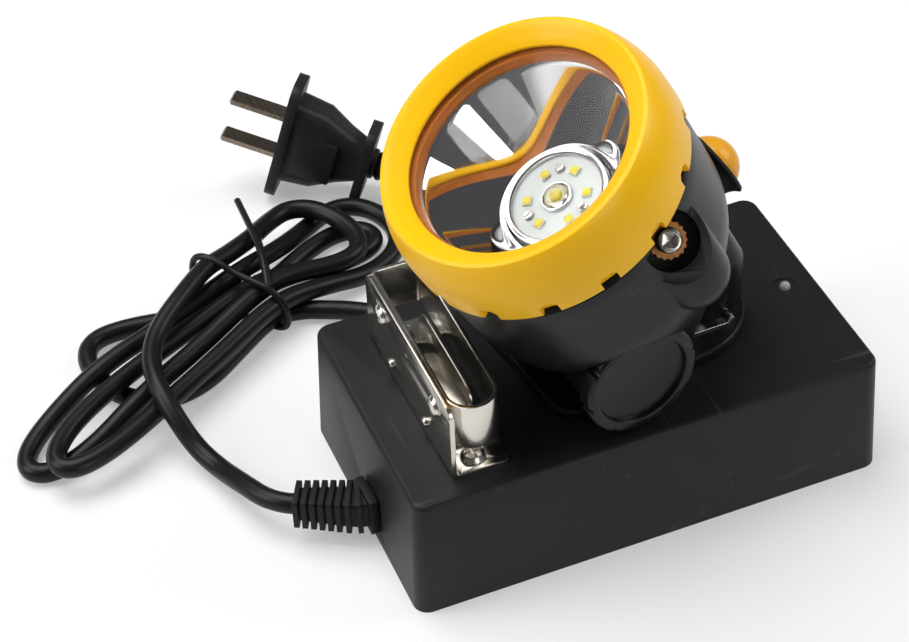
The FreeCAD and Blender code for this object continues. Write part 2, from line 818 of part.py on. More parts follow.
def sweep(path, start, direction):
    """Solid tube of the cord's section along a wire."""
    tube = path.makePipeShell([flat_sided(start, direction, cord_radius, cord_sides)], True, False)
    wanted = math.pi * cord_radius ** 2 * path.Length
    print("tube volume over section times length: %.4f, length %.1f" % (tube.Volume / wanted, path.Length))
    return tube


def make_free_cord(name, points):
    path, radii = cord_path(points)
    print(name, "radii:", " ".join("%.0f" % radius for radius in radii))
    return sweep(path, points[0], points[1] - points[0])


# Routes between the boot, the tied loops and the plug, chosen by hand
lead_first_run = 6.0
LEAD = ((-92.8, 17.6, 8.0), (-95.2, 27.6, 4.2), (-98.6, 35.4, 6.0), (-101.6, 41.8, 13.2),
        (-103.4, 49.4, 16.8), (-102.6, 59.5, 15.8), (-98.6, 69.5, 15.5), (-94.0, 79.0, 15.4),
        (-88.4, 88.8, 16.0))
lead_last_run = 7.5
TAIL = ((-31.0, 65.5, 2.9), (-18.0, 59.2, 2.9), (-4.0, 56.5, 2.9), (9.0, 59.5, 2.9), (19.5, 68.0, 2.9),
        (23.5, 80.0, 2.9), (20.5, 91.5, 2.9), (12.5, 100.0, 3.0))
tail_first_run = 8.0
tail_last_run = 12.0
tie_knot_v = -9.0
TIE_TAILS = (((-61.4, 86.5, 18.5), (-60.0, 101.0, 17.0), (-58.7, 119.0, 14.0)),
             ((-61.6, 83.0, 16.5), (-60.2, 93.0, 15.5), (-58.2, 103.7, 13.4)))


# Tied loops: each lobe leaves the tie and returns to it, in the hank's own frame
def smooth(share):
    share = min(1.0, max(0.0, share))
    return share * share * (3 - 2 * share)


def in_hank(along, across, z):
    """Point from the hank's own plan, whose first direction runs along the loops."""
    turn = math.radians(hank_turn)
    return V(hank_x + along * math.cos(turn) - across * math.sin(turn),
             hank_y + along * math.sin(turn) + across * math.cos(turn), z)


class Lobe:
    """One end of a loop: a drop-shaped run out from the tie and back."""

    def __init__(self, reach, side, half_width, middle, v_in, v_out, layer_in, layer_far, layer_out,
                 hold, land, fullness=1.0):
        self.reach, self.side, self.half_width, self.middle = reach, side, half_width, middle
        self.v_in, self.v_out = v_in, v_out
        self.layers = (layer_in, layer_far, layer_out)
        self.hold, self.land, self.fullness = hold, land, fullness

    def point(self, share):
        out = math.sin(math.pi * share)
        swell = math.sin(2 * math.pi * share) * max(out, 0.0) ** self.fullness
        across = self.v_in + (self.v_out - self.v_in) * smooth(share) + self.middle * out * out
        across += self.side * self.half_width / 0.77 * swell
        near = self.layers[0] if share < 0.5 else self.layers[2]
        layer = near + (self.layers[1] - near) * smooth((out - self.hold) / (self.land - self.hold))
        lifted = tie_lift * (1 - smooth(abs(self.reach) * out / tie_lift_reach))
        return in_hank(self.reach * out, across, cord_floor_z + layer * layer_step + lifted)

    def heading(self, share):
        """Direction of travel, level at the tie."""
        step = 0.0005
        if share < step:
            ahead = self.point(step) - self.point(0.0)
        elif share > 1 - step:
            ahead = self.point(1.0) - self.point(1.0 - step)
        else:
            ahead = self.point(share + step) - self.point(share - step)
        if share < step or share > 1 - step:
            turn = math.radians(hank_turn)
            sign = (1 if share < step else -1) * (1 if self.reach > 0 else -1)
            ahead = V(sign * math.cos(turn), sign * math.sin(turn), 0)
        ahead.normalize()
        return ahead


LOBES = [
    Lobe(38, 1, 11.0, 2.6, 12.2, -6.1, 1, 1, 1, 0.3, 0.8),
    Lobe(-85, -1, 7.4, -4.0, -6.1, 6.1, 1, 0, 1, 0.64, 0.88),
    Lobe(50.6, 1, 13.8, -2.8, 6.1, -12.9, 1, 0, 1, 0.32, 0.56),
    Lobe(-79, -1, 6.4, -9.8, -12.9, 0.0, 1, 1, 1, 0.66, 1.0),
    Lobe(44, -1, 5.4, -4.8, 0.0, 3.0, 1, 0, 0, 0.1, 0.5),
    Lobe(-48, 1, 16.0, 8.0, 3.0, -9.5, 0, 0, 0, 0.3, 0.8, 0.6)]
LOBE_SHARES = (0.0, 0.12, 0.26, 0.4, 0.5, 0.6, 0.74, 0.88, 1.0)


def arc_between(start, heading, end):
    """Arc from start, along heading, to end, as its edge."""
    chord = end - start
    if heading.getAngle(chord) < 1e-4:
        return Part.LineSegment(start, end).toShape()
    half = heading.getAngle(chord)
    bulge = chord.Length / 2 * math.tan(half / 2)
    across = heading - chord * (heading.dot(chord) / chord.dot(chord))
    across.normalize()
    return Part.Arc(start, start + chord * 0.5 + across * bulge, end).toShape()


def biarc(start, out_of, end, into):
    """Two tangent arcs from one point and heading to another."""
    gap = end - start
    total = out_of + into
    a = 2 * (1 - out_of.dot(into))
    b = gap.dot(total)
    c = -gap.dot(gap)
    if abs(a) < 1e-9:
        reach = -c / (2 * b) if abs(b) > 1e-9 else gap.Length / 2
    else:
        reach = (-2 * b + math.sqrt(4 * b * b - 4 * a * c)) / (2 * a)
    knot = (start + out_of * reach + end - into * reach) * 0.5
    first = arc_between(start, out_of, knot)
    last = arc_between(end, into * -1, knot)
    return [first, last]


def hank_stations():
    stations = []
    for lobe in LOBES:
        for share in LOBE_SHARES[:-1]:
            stations.append((lobe.point(share), lobe.heading(share)))
    stations.append((LOBES[-1].point(1.0), LOBES[-1].heading(1.0)))
    leaving = math.radians(hank_turn + hank_exit_turn)
    stations.append((in_hank(hank_exit[0], hank_exit[1], cord_floor_z),
                     V(math.cos(leaving), math.sin(leaving), 0)))
    first, last = stations[0], stations[-1]
    lead_in = (first[0] - first[1] * cord_diameter, first[1])
    lead_out = (last[0] + last[1] * cord_diameter, last[1])
    return lead_in, stations, lead_out


def least_gap(points, skip):
    """Least gap between parts of the tube that are more than skip apart along it."""
    along = [0.0]
    for before, after in zip(points, points[1:]):
        along.append(along[-1] + before.distanceToPoint(after))
    least, place = 1e9, None
    for i in range(len(points)):
        for j in range(i + 1, len(points)):
            if along[j] - along[i] > skip:
                distance = points[i].distanceToPoint(points[j])
                if distance < least:
                    least, place = distance, (points[i], points[j])
    return least - cord_diameter, place


def make_hank():
    lead_in, stations, lead_out = hank_stations()
    edges = [Part.LineSegment(lead_in[0], stations[0][0]).toShape()]
    for (start, out_of), (end, into) in zip(stations, stations[1:]):
        edges += biarc(start, out_of, end, into)
    edges.append(Part.LineSegment(stations[-1][0], lead_out[0]).toShape())
    path = Part.Wire(Part.__sortEdges__(edges))
    radii = [edge.Curve.Radius for edge in edges if hasattr(edge.Curve, "Radius")]
    print("hank: least radius %.1f, edges %d" % (min(radii), len(edges)))
    points = []
    for edge in edges:
        count = max(2, int(edge.Length / 2.0))
        line = [edge.valueAt(edge.FirstParameter + (edge.LastParameter - edge.FirstParameter) * k / count)
                for k in range(count)]
        if points and line[0].distanceToPoint(points[-1]) > line[-1].distanceToPoint(points[-1]):
            line.reverse()
        points += line
    gap, place = least_gap(points, 18.0)
    print("hank: least gap to itself %.2f" % gap, place)
    return sweep(path, lead_in[0], lead_in[1]), lead_in, lead_out


# Plug, made along X from the face that carries the blades
plug_frame = FreeCAD.Placement(V(plug_x, plug_y, plug_z), FreeCAD.Rotation(V(0, 0, 1), plug_turn))
plug_frame = plug_frame.multiply(FreeCAD.Placement(V(), FreeCAD.Rotation(V(0, 1, 0), plug_tilt)))
plug_frame = plug_frame.multiply(FreeCAD.Placement(V(), FreeCAD.Rotation(V(1, 0, 0), plug_roll)))
plug_collar_x = plug_body_length + plug_flange_thickness
plug_end_x = plug_collar_x + plug_collar_length + plug_relief_length
plug_end = plug_frame.multVec(V(plug_end_x, 0, 0))
plug_axis = plug_frame.Rotation.multVec(V(1, 0, 0))


def plug_section(x, height, width, radius):
    """Rounded outline across the plug, at x along it."""
    wire = rounded_outline(height, width, radius, 0.0)
    wire.Placement = FreeCAD.Placement(V(x, 0, 0), FreeCAD.Rotation(V(0, 1, 0), -90))
    return wire


def make_plug():
    flange = prism(plug_section(0.0, plug_flange_length, plug_flange_width, 4.5),
                   plug_flange_thickness, V(1, 0, 0))
    x0, x1 = plug_flange_thickness, plug_collar_x
    stages = ((x0, 27.0, 13.6, 4.0), (x0 + 9.0, 25.0, 13.0, 4.0), (x0 + 16.5, 17.0, 11.5, 4.0),
              (x1, 13.0, 10.5, 4.0))
    body = Part.makeLoft([plug_section(*stage) for stage in stages], True, True)
    collar = prism(plug_section(x1, plug_collar_height, plug_collar_width, 4.0),
                   plug_collar_length, V(1, 0, 0))
    relief_x = x1 + plug_collar_length
    relief = turned([(0, 0), (4.6, 0), (4.6, 1.2), (3.7, 1.8), (4.4, 2.6), (4.4, 3.6), (3.6, 4.2),
                     (4.2, 5.0), (4.2, 6.0), (3.5, 6.6), (3.5, plug_relief_length), (0, plug_relief_length)])
    solid = flange.fuse([body, collar, aim(relief, V(relief_x, 0, 0), V(1, 0, 0))])
    for side in (-1, 1):
        y0, y1 = sorted((side * 5.0, side * 7.1))
        panel = box(x0 + 2.5, x0 + 14.5, y0, y1, -8.0, 5.0)
        panel = panel.makeFillet(0.8, [edge for edge in panel.Edges
                                       if abs(edge.Vertexes[0].Y - edge.Vertexes[-1].Y) > 0.5])
        solid = solid.fuse(panel)
    for side in (-1, 1):
        z = side * blade_pitch / 2
        solid = solid.cut(box(-1, blade_root, -blade_width / 2, blade_width / 2,
                              z - blade_thickness / 2, z + blade_thickness / 2))
    solid = solid.removeSplitter()
    blades = []
    for side in (-1, 1):
        z = side * blade_pitch / 2
        blade = box(-blade_length, blade_root, -blade_width / 2, blade_width / 2,
                    z - blade_thickness / 2, z + blade_thickness / 2)
        tips = [edge for edge in blade.Edges
                if all(vertex.X < -blade_length + 0.01 for vertex in edge.Vertexes)]
        blades.append(blade.makeChamfer(0.5, tips))
    placed = []
    for shape in [solid] + blades:
        moved = shape.copy()
        moved.Placement = plug_frame.multiply(moved.Placement)
        placed.append(moved)
    return placed[0], placed[1:]


def wire_run(points, radius):
    """Thin wire along runs and arcs through the points."""
    path, radii = cord_path(points)
    return path.makePipeShell([flat_sided(points[0], points[1] - points[0], radius, tie_sides)], True, False)


def make_twist_tie():
    """Wire ring round the waist of the hank, with its two tails laid back over the loops."""
    turn = math.radians(hank_turn)
    across = V(-math.sin(turn), math.cos(turn), 0)
    radius = tie_wire / 2
    widest = max(abs(value) for lobe in LOBES for value in (lobe.v_in, lobe.v_out))
    half = widest + cord_radius + radius + tie_slack
    bottom = radius + 0.05
    top = cord_floor_z + layer_step + tie_lift + cord_radius + radius + tie_slack
    centre = V(hank_x, hank_y, 0)

    def at(v, z):
        return centre + across * v + V(0, 0, z)

    inner = tie_corner * math.sqrt(0.5)
    v0, low, high = half - tie_corner, bottom + tie_corner, top - tie_corner
    edges = []
    for side in (1, -1):
        z0, z1 = (bottom, top) if side > 0 else (top, bottom)
        c0, c1 = (low, high) if side > 0 else (high, low)
        edges += [
            Part.LineSegment(at(-side * v0, z0), at(side * v0, z0)).toShape(),
            Part.Arc(at(side * v0, z0), at(side * (v0 + inner), c0 - side * inner), at(side * half, c0)).toShape(),
            Part.LineSegment(at(side * half, c0), at(side * half, c1)).toShape(),
            Part.Arc(at(side * half, c1), at(side * (v0 + inner), c1 + side * inner), at(side * v0, z1)).toShape()]
    section = flat_sided(at(-v0, bottom), across, radius, tie_sides)
    ring = Part.Wire(edges).makePipeShell([section], True, False)
    knot = at(tie_knot_v, top)
    for route in TIE_TAILS:
        ring = ring.fuse(wire_run([knot] + [V(*point) for point in route], radius))
    return ring


# Lamp
contact_axis = V(0, -math.cos(math.radians(contact_lean)), math.sin(math.radians(contact_lean)))
contact_centre = V(contact_u, contact_y, contact_s)
recess_floor_centre = contact_centre - contact_axis * recess_floor
cell_front_y = tube_front_y + cell_front_gap
cell_back_y = cell_front_y + cell_length
tube_inner_back_y = tube_back_y - tube_end_wall
led_board_back = reflector_floor - led_board_thickness
spreader_back = led_board_back - spreader_thickness
reflector_front = neck_front + reflector_flange_thickness
lens_back = reflector_front + gasket_thickness
lens_front = lens_back + lens_thickness
bezel_lip_back = lens_front + lens_gap
tube_back = V(tube_x, tube_back_y, tube_z)


def head_places(count, start, pitch, s):
    """Points spaced evenly round the head's axis."""
    step = math.radians(360.0 / count)
    first = math.radians(start)
    return [V(pitch * math.cos(first + k * step), pitch * math.sin(first + k * step), s)
            for k in range(count)]


def make_bell(grow=0.0):
    """Outside of the bell about the head's axis: cone, shoulder and skirt."""
    bow = ((bell_cone_radius + bell_shoulder_radius) / 2 + grow + 0.75,
           (bell_cone_top + bell_shoulder) / 2 - 0.75)
    profile = [(0, 0), (bell_foot_radius + grow, 0), (bell_cone_radius + grow, bell_cone_top),
               (bell_shoulder_radius + grow, bell_shoulder), (bell_rim_radius + grow, bell_front - 1.0),
               (bell_rim_radius + grow - 1.0, bell_front), (0, bell_front)]
    foot = cylinder(bell_foot_radius + grow, 12.0, V(0, 0, -11.99))
    return turned(profile, [(2, bow)]).fuse(foot)


def make_boss():
    """Fairing of the charging contact: round-backed, cut off square to its contact."""
    base = V(contact_u, contact_y - boss_offset, boss_back)
    boss = cylinder(boss_radius, 20.0, base).fuse(Part.makeSphere(boss_radius, base))
    return boss.cut(cylinder(40.0, 30.0, contact_centre + contact_axis * boss_face, contact_axis))


def make_cavity():
    """Room inside the bell, less the solid behind the contact and the pillars."""
    floor_radius = bell_cone_radius - bell_wall + 1.5
    profile = [(0, cavity_floor), (floor_radius, cavity_floor),
               (bell_shoulder_radius - bell_wall, bell_shoulder),
               (bell_rim_radius - bell_wall, bell_front - 3.5), (neck_radius - neck_wall, bell_front + 0.5),
               (neck_radius - neck_wall, neck_front + 1), (0, neck_front + 1)]
    room = turned(profile)
    room = room.cut(cylinder(boss_radius, 30.0, V(contact_u, contact_y - boss_offset, cavity_floor - 1)))
    room = room.cut(cylinder(recess_radius + recess_wall, recess_cut,
                             recess_floor_centre - contact_axis * recess_wall, contact_axis))
    for place in head_places(pillar_count, board_screw_start + 60, pillar_pitch, cavity_floor - 1):
        room = room.cut(cylinder(pillar_shoulder_radius, driver_height - place.z, place))
        room = room.cut(cylinder(pillar_radius, spreader_back - place.z, place))
    return room


def make_lamp_housing():
    """Bell, neck, contact fairing and battery tube in one moulding."""
    neck = cylinder(neck_radius, neck_front - bell_front + 1, V(0, 0, bell_front - 1))
    tube = cylinder(tube_radius, tube_back_y - tube_front_y, V(tube_x, tube_front_y, tube_z), V(0, 1, 0))
    far_edge = [edge for edge in tube.Edges if all(vertex.Y > tube_back_y - 0.01 for vertex in edge.Vertexes)]
    tube = tube.makeChamfer(tube_end_round, far_edge)
    body = in_head(make_bell().fuse([neck, make_boss()])).fuse(tube)
    body = body.cut(box(-80, 80, -80, 80, -60, plate_thickness))
    cell_room = cylinder(cell_radius + cell_play, tube_inner_back_y - tube_front_y + 1,
                         V(tube_x, tube_front_y - 1, tube_z), V(0, 1, 0))
    mouth = cylinder(cap_spigot_radius + cap_fit, cap_spigot_length + 1.5,
                     V(tube_x, tube_front_y - 1, tube_z), V(0, 1, 0))
    recess = cylinder(recess_radius, recess_cut, recess_floor_centre, contact_axis).cut(neck)
    shank = cylinder(contact_shank_radius + screw_fit, contact_shank_length + 1,
                     recess_floor_centre - contact_axis * (contact_shank_length + 0.5), contact_axis)
    seat = cylinder(switch_neck_radius + switch_neck_fit, 20.0, V(switch_seat_u, 0, switch_s), V(1, 0, 0))
    half = tact_size / 2 + tact_clearance
    tact_room = box(tact_room_back_u, switch_seat_u + 0.5, -half, half, switch_s - half, switch_s + half)
    flare = cylinder(switch_rim_radius + 0.3, 20.0, V(switch_neck_top_u - 0.1, 0, switch_s), V(1, 0, 0))
    body = body.cut([in_head(tool) for tool in (make_cavity(), recess, shank, seat, flare, tact_room)])
    cap_room = cylinder(cap_radius + cap_room_gap, 40.0, V(tube_x, tube_front_y, tube_z), V(0, -1, 0))
    body = body.cut([cell_room, mouth, cap_room, strip_solid(0.1)])
    return body.cut([plate_screw_bore(x, y) for x, y in plate_screws]).removeSplitter()


def plate_screw_bore(x, y):
    return cylinder(plate_screw_radius + screw_fit, plate_screw_length + 0.5, V(x, y, 0))


def cover_outline(right, half, radius, z):
    """Plan of the back cover at one height."""
    length = right - back_cover_left
    return rounded_outline(length, 2 * half, radius, z, back_cover_left + length / 2, head_y)


def make_back_cover():
    """Spine behind the bell: upright wall, then a shoulder that draws in below the switch."""
    wall = prism(cover_outline(back_cover_right, back_cover_half, back_cover_round, plate_thickness),
                 back_wall_top - plate_thickness)
    shoulder = Part.makeLoft([cover_outline(back_cover_right, back_cover_half, back_cover_round, back_wall_top),
                              cover_outline(back_top_right, back_top_half, 3.0, back_top)], True, True)
    body = wall.fuse(shoulder).cut([in_head(make_bell(back_gap)), strip_solid(0.1)])
    body = body.cut([plate_screw_bore(x, y) for x, y in plate_screws])
    largest = max(body.Solids, key=lambda solid: solid.Volume)
    return largest.removeSplitter()


def make_hook_plate():
    """Flat tongue under the lamp: square at one end, half round at the other."""
    r, h, c = plate_radius, plate_radius, plate_corner
    d = c * (1 - math.sqrt(0.5))
    x0, x1 = plate_left_x, plate_right_x
    edges = [
        Part.LineSegment(V(x0 + c, -h, 0), V(x1, -h, 0)).toShape(),
        Part.Arc(V(x1, -h, 0), V(x1 + r, 0, 0), V(x1, h, 0)).toShape(),
        Part.LineSegment(V(x1, h, 0), V(x0 + c, h, 0)).toShape(),
        Part.Arc(V(x0 + c, h, 0), V(x0 + d, h - d, 0), V(x0, h - c, 0)).toShape(),
        Part.LineSegment(V(x0, h - c, 0), V(x0, -h + c, 0)).toShape(),
        Part.Arc(V(x0, -h + c, 0), V(x0 + d, -h + d, 0), V(x0 + c, -h, 0)).toShape()]
    plate = prism(Part.Wire(edges), plate_thickness)
    rims = [edge for edge in plate.Edges if abs(edge.Vertexes[0].Z - edge.Vertexes[-1].Z) < 0.01]
    plate = plate.makeChamfer(plate_edge, rims)
    for x, y in plate_screws:
        plate = plate.cut(cylinder(plate_screw_radius + 0.15, plate_thickness + 2, V(x, y, -1)))
        plate = plate.cut(cylinder(plate_screw_head + 0.2, plate_screw_head_height + 0.1, V(x, y, 0)))
    return plate


def make_plate_screw(x, y):
    head_z = 0.1
    shank_z = head_z + plate_screw_head_height
    screw = turned([(0, head_z), (plate_screw_head, head_z), (plate_screw_head, shank_z),
                    (plate_screw_radius, shank_z), (plate_screw_radius, plate_screw_length - 0.8),
                    (0.4, plate_screw_length), (0, plate_screw_length)])
    cross = box(-1.7, 1.7, -0.3, 0.3, 0, head_z + 0.7).fuse(box(-0.3, 0.3, -1.7, 1.7, 0, head_z + 0.7))
    screw = screw.cut(cross)
    screw.translate(V(x, y, 0))
    return screw


def strip_solid(grow=0.0):
    """Steel strip lying on the plate in front of the bell's foot, its end rolled up."""
    x0, y0 = strip_left
    x1, y1 = strip_right
    length = math.hypot(x1 - x0, y1 - y0)
    strip = box(-grow, length, -strip_width / 2 - grow, strip_width / 2 + grow, 0, strip_sheet + grow)
    curl = cylinder(strip_curl + grow, strip_width + 2 * grow,
                    V(length, -strip_width / 2 - grow, strip_curl + grow / 2), V(0, 1, 0))
    strip = strip.fuse(curl)
    turn = FreeCAD.Rotation(V(0, 0, 1), math.degrees(math.atan2(y1 - y0, x1 - x0)))
    strip.Placement = FreeCAD.Placement(V(x0, y0, plate_thickness), turn)
    return strip


def make_bezel():
    """Screwed ring: castellated back edge, front ridge and dished lip over the lens."""
    inner = neck_radius + bezel_fit
    step = neck_front + bezel_step
    seat = lens_radius + lens_clearance
    profile = [(inner, bezel_back), (bezel_radius - 0.6, bezel_back), (bezel_radius, bezel_back + 0.6),
               (bezel_radius, bezel_back + 7.0), (bezel_ridge_radius + 0.5, bezel_front - 0.3),
               (bezel_ridge_radius - 0.4, bezel_front), (bezel_mouth_radius, bezel_lip),
               (bezel_mouth_radius, bezel_lip_back), (seat, bezel_lip_back), (seat, step), (inner, step)]
    bow = (bezel_radius - 0.9, bezel_back + 13.6)
    ring = turned(profile, [(3, bow)])
    step_angle = 360.0 / notch_count
    for k in range(notch_count):
        notch = box(bezel_radius - notch_depth, bezel_radius + 2, -notch_width / 2, notch_width / 2,
                    bezel_back - 1, bezel_back + notch_length)
        lead = [edge for edge in notch.Edges
                if all(vertex.Z > bezel_back + notch_length - 0.01 for vertex in edge.Vertexes)
                and abs(edge.Vertexes[0].X - edge.Vertexes[-1].X) > 1]
        notch = notch.makeChamfer(1.1, lead)
        notch.rotate(V(0, 0, 0), V(0, 0, 1), notch_start + k * step_angle)
        ring = ring.cut(notch)
    return ring


def make_lens():
    edge = 0.3
    return turned([(0, lens_back), (lens_radius - edge, lens_back), (lens_radius, lens_back + edge),
                   (lens_radius, lens_front - edge), (lens_radius - edge, lens_front), (0, lens_front)])


def ring_solid(inner, outer, z0, z1):
    return turned([(inner, z0), (outer, z0), (outer, z1), (inner, z1)])


def make_reflector():
    """Mirror cup hung in the neck by its flange."""
    w = reflector_wall
    profile = [(reflector_throat, reflector_floor), (reflector_rim, reflector_front),
               (reflector_flange, reflector_front), (reflector_flange, neck_front),
               (reflector_rim + w, neck_front), (reflector_throat + w + 0.3, reflector_floor)]
    bows = [(0, (reflector_middle_radius, reflector_middle)),
            (4, (reflector_middle_radius + w, reflector_middle - 0.6))]
    return turned(profile, bows)


def board_screw_places(s):
    return head_places(3, board_screw_start, board_screw_pitch, s)


def make_led_board():
    board = cylinder(led_board_radius, led_board_thickness, V(0, 0, led_board_back))
    for place in board_screw_places(led_board_back - 1):
        board = board.cut(cylinder(board_screw_radius + 0.1, led_board_thickness + 2, place))
    return board


def make_main_led():
    z = reflector_floor
    return turned([(0, z), (main_led_radius, z), (main_led_radius, z + 0.9), (main_lens_radius, z + 1.0),
                   (0, z + main_led_height)], [(3, dome(main_lens_radius, z + 1.0, z + main_led_height))])


def make_side_led(place):
    half = side_led_width / 2
    led = box(-half, half, -half, half, 0, side_led_height)
    bead = turned([(0, side_led_height), (0.8, side_led_height), (0.5, side_led_height + 0.4),
                   (0, side_led_height + 0.5)])
    led = led.fuse(bead)
    led.rotate(V(0, 0, 0), V(0, 0, 1), math.degrees(math.atan2(place.y, place.x)))
    led.translate(place)
    return led


def make_board_screw(place):
    top = reflector_floor + 0.9
    z = top - board_screw_length
    screw = turned([(0, z), (board_screw_radius, z), (board_screw_radius, reflector_floor),
                    (board_screw_head, reflector_floor), (board_screw_head, top - 0.3),
                    (board_screw_head - 0.3, top), (0, top)])
    screw = screw.cut(box(-0.9, 0.9, -0.18, 0.18, top - 0.4, top + 1))
    screw.translate(V(place.x, place.y, 0))
    return screw


def make_spreader():
    body = cylinder(spreader_radius, spreader_thickness, V(0, 0, spreader_back))
    for place in board_screw_places(led_board_back - board_screw_length):
        body = body.cut(cylinder(board_screw_radius + screw_fit, board_screw_length + 1, place))
    return body


def make_driver_board():
    board = cylinder(driver_radius, driver_thickness, V(0, 0, driver_height))
    for place in head_places(pillar_count, board_screw_start + 60, pillar_pitch, driver_height - 1):
        board = board.cut(cylinder(pillar_radius + driver_hole_fit, driver_thickness + 2, place))
    return board


def make_driver_parts():
    """Choke, chip and two tall parts on the driver board."""
    top = driver_height + driver_thickness
    choke = ring_solid(choke_inner, choke_outer, top, top + choke_height)
    choke.translate(V(choke_x, choke_y, 0))
    chip = box(chip_x, chip_x + chip_length, chip_y, chip_y + chip_width, top, top + chip_height)
    cans = [cylinder(driver_can_radius, driver_can_height, V(choke_x, -choke_y, top)),
            cylinder(driver_can_radius, driver_can_height, V(driver_can_x, driver_can_y, top))]
    return [choke, chip] + cans


def make_cell():
    r, x, z = cell_radius, tube_x, tube_z
    button_y = cell_back_y - cell_button_height
    cell = turned([(0, cell_front_y), (r - 0.6, cell_front_y), (r, cell_front_y + 0.6), (r, button_y - 0.6),
                   (r - 0.6, button_y), (cell_button_radius, button_y), (cell_button_radius, cell_back_y),
                   (0, cell_back_y)])
    return along_tube(cell)


def along_tube(shape):
    """Turns a shape made along Z so that its heights run along the battery tube's Y."""
    shape.Placement = FreeCAD.Placement(V(tube_x, 0, tube_z), FreeCAD.Rotation(V(0, 0, 1), V(0, 1, 0)))
    return shape


def make_cell_contact():
    seat = tube_inner_back_y
    return along_tube(turned([(0, cell_back_y), (2.6, cell_back_y), (3.4, seat - 0.6), (8.0, seat - 0.6),
                              (8.0, seat), (0, seat)]))


def make_cell_spring():
    """Dished spring washer between the cap and the cell."""
    y0, y1 = tube_front_y + 0.1, cell_front_y - 0.05
    return along_tube(turned([(3.0, y1 - 0.35), (7.6, y0), (7.6, y0 + 0.35), (3.0, y1)]))


def make_battery_cap():
    """Screw cap: rimmed face, finger notches and a hollow spigot."""
    y0, y1 = tube_front_y - cap_thickness, tube_front_y
    spigot_y = tube_front_y + cap_spigot_length
    inner = cap_spigot_radius - cap_spigot_wall
    profile = [(0, y0 + cap_recess_depth), (cap_recess_radius - 0.4, y0 + cap_recess_depth),
               (cap_recess_radius, y0), (cap_radius - cap_edge, y0), (cap_radius, y0 + cap_edge),
               (cap_radius, y1), (cap_spigot_radius, y1), (cap_spigot_radius, spigot_y), (inner, spigot_y),
               (inner, y1), (0, y1)]
    cap = turned(profile)
    cap = cap.cut(ring_solid(seal_inner - seal_fit, seal_outer + seal_fit, y1 - seal_groove, y1 + 0.01))
    step = 360.0 / cap_notch_count
    for k in range(cap_notch_count):
        notch = cylinder(cap_notch_radius, cap_thickness + 2, V(cap_radius + 0.4, 0, y0 - 1))
        notch.rotate(V(0, 0, 0), V(0, 0, 1), cap_notch_start + k * step)
        cap = cap.cut(notch)
    return along_tube(cap)


def make_cap_seal():
    y1 = tube_front_y
    return along_tube(ring_solid(seal_inner, seal_outer, y1 - seal_groove + seal_fit, y1))


def along_switch(shape):
    """Turns a shape made along Z so that its heights run along the switch's axis."""
    shape.Placement = FreeCAD.Placement(V(0, 0, switch_s), FreeCAD.Rotation(V(0, 0, 1), V(1, 0, 0)))
    return shape


def make_switch_collar():
    """Flared rubber cup round the button."""
    bore, cup = stem_radius + button_fit, button_radius + button_fit
    rim = switch_rim_u - 0.8
    profile = [(bore, switch_seat_u), (switch_neck_radius, switch_seat_u),
               (switch_neck_radius, switch_neck_top_u), (switch_rim_radius, rim),
               (switch_rim_radius - 0.4, switch_rim_u), (cup + 0.4, switch_rim_u), (cup, rim),
               (cup, switch_cup_floor_u), (bore, switch_cup_floor_u)]
    return along_switch(turned(profile, [(2, (switch_neck_radius + 0.8, (switch_neck_top_u + rim) / 2 + 0.4))]))


def make_switch_button():
    stem_end = switch_seat_u + button_travel + 0.1
    profile = [(0, stem_end), (stem_radius, stem_end), (stem_radius, button_back_u),
               (button_radius, button_back_u), (button_radius, button_edge_u), (0, button_apex_u)]
    return along_switch(turned(profile, [(4, dome(button_radius, button_edge_u, button_apex_u))]))


def make_switch_spring():
    return along_switch(ring_solid(spring_inner, spring_outer, switch_cup_floor_u,
                                   switch_cup_floor_u + spring_sheet))


def make_tact_switch():
    half = tact_size / 2
    body = box(tact_room_back_u, tact_room_back_u + tact_body, -half, half, switch_s - half, switch_s + half)
    plunger = cylinder(tact_plunger_radius, switch_seat_u - tact_room_back_u - tact_body,
                       V(tact_room_back_u + tact_body, 0, switch_s), V(1, 0, 0))
    return body.fuse(plunger)


def make_contact_washer():
    """Serrated washer on the floor of the contact's recess."""
    points = []
    for k in range(2 * washer_teeth):
        angle = math.pi * k / washer_teeth
        reach = washer_radius if k % 2 == 0 else washer_radius - 0.5
        points.append(V(reach * math.cos(angle), reach * math.sin(angle), 0))
    washer = prism(Part.makePolygon(points + points[:1]), washer_thickness)
    washer = washer.cut(cylinder(contact_shank_radius + 0.1, washer_thickness + 2, V(0, 0, -1)))
    return aim(washer, recess_floor_centre, contact_axis)


def make_contact_screw():
    base = washer_thickness
    top = base + contact_head_height
    root = contact_head_radius - contact_thread_depth
    profile = [(0, -contact_shank_length), (contact_shank_radius, -contact_shank_length),
               (contact_shank_radius, base), (contact_head_radius, base), (contact_head_radius, base + 0.6)]
    level = base + 0.6
    while level + contact_thread_pitch < top - 0.4:
        profile += [(root, level + contact_thread_pitch / 2), (contact_head_radius, level + contact_thread_pitch)]
        level += contact_thread_pitch
    screw = turned(profile + [(root, top - 0.1), (root - 0.3, top), (0, top)])
    for a, b in ((2.0, 0.4), (0.4, 2.0)):
        screw = screw.cut(box(-a, a, -b, b, top - 1.0, top + 1))
    return aim(screw, recess_floor_centre, contact_axis)


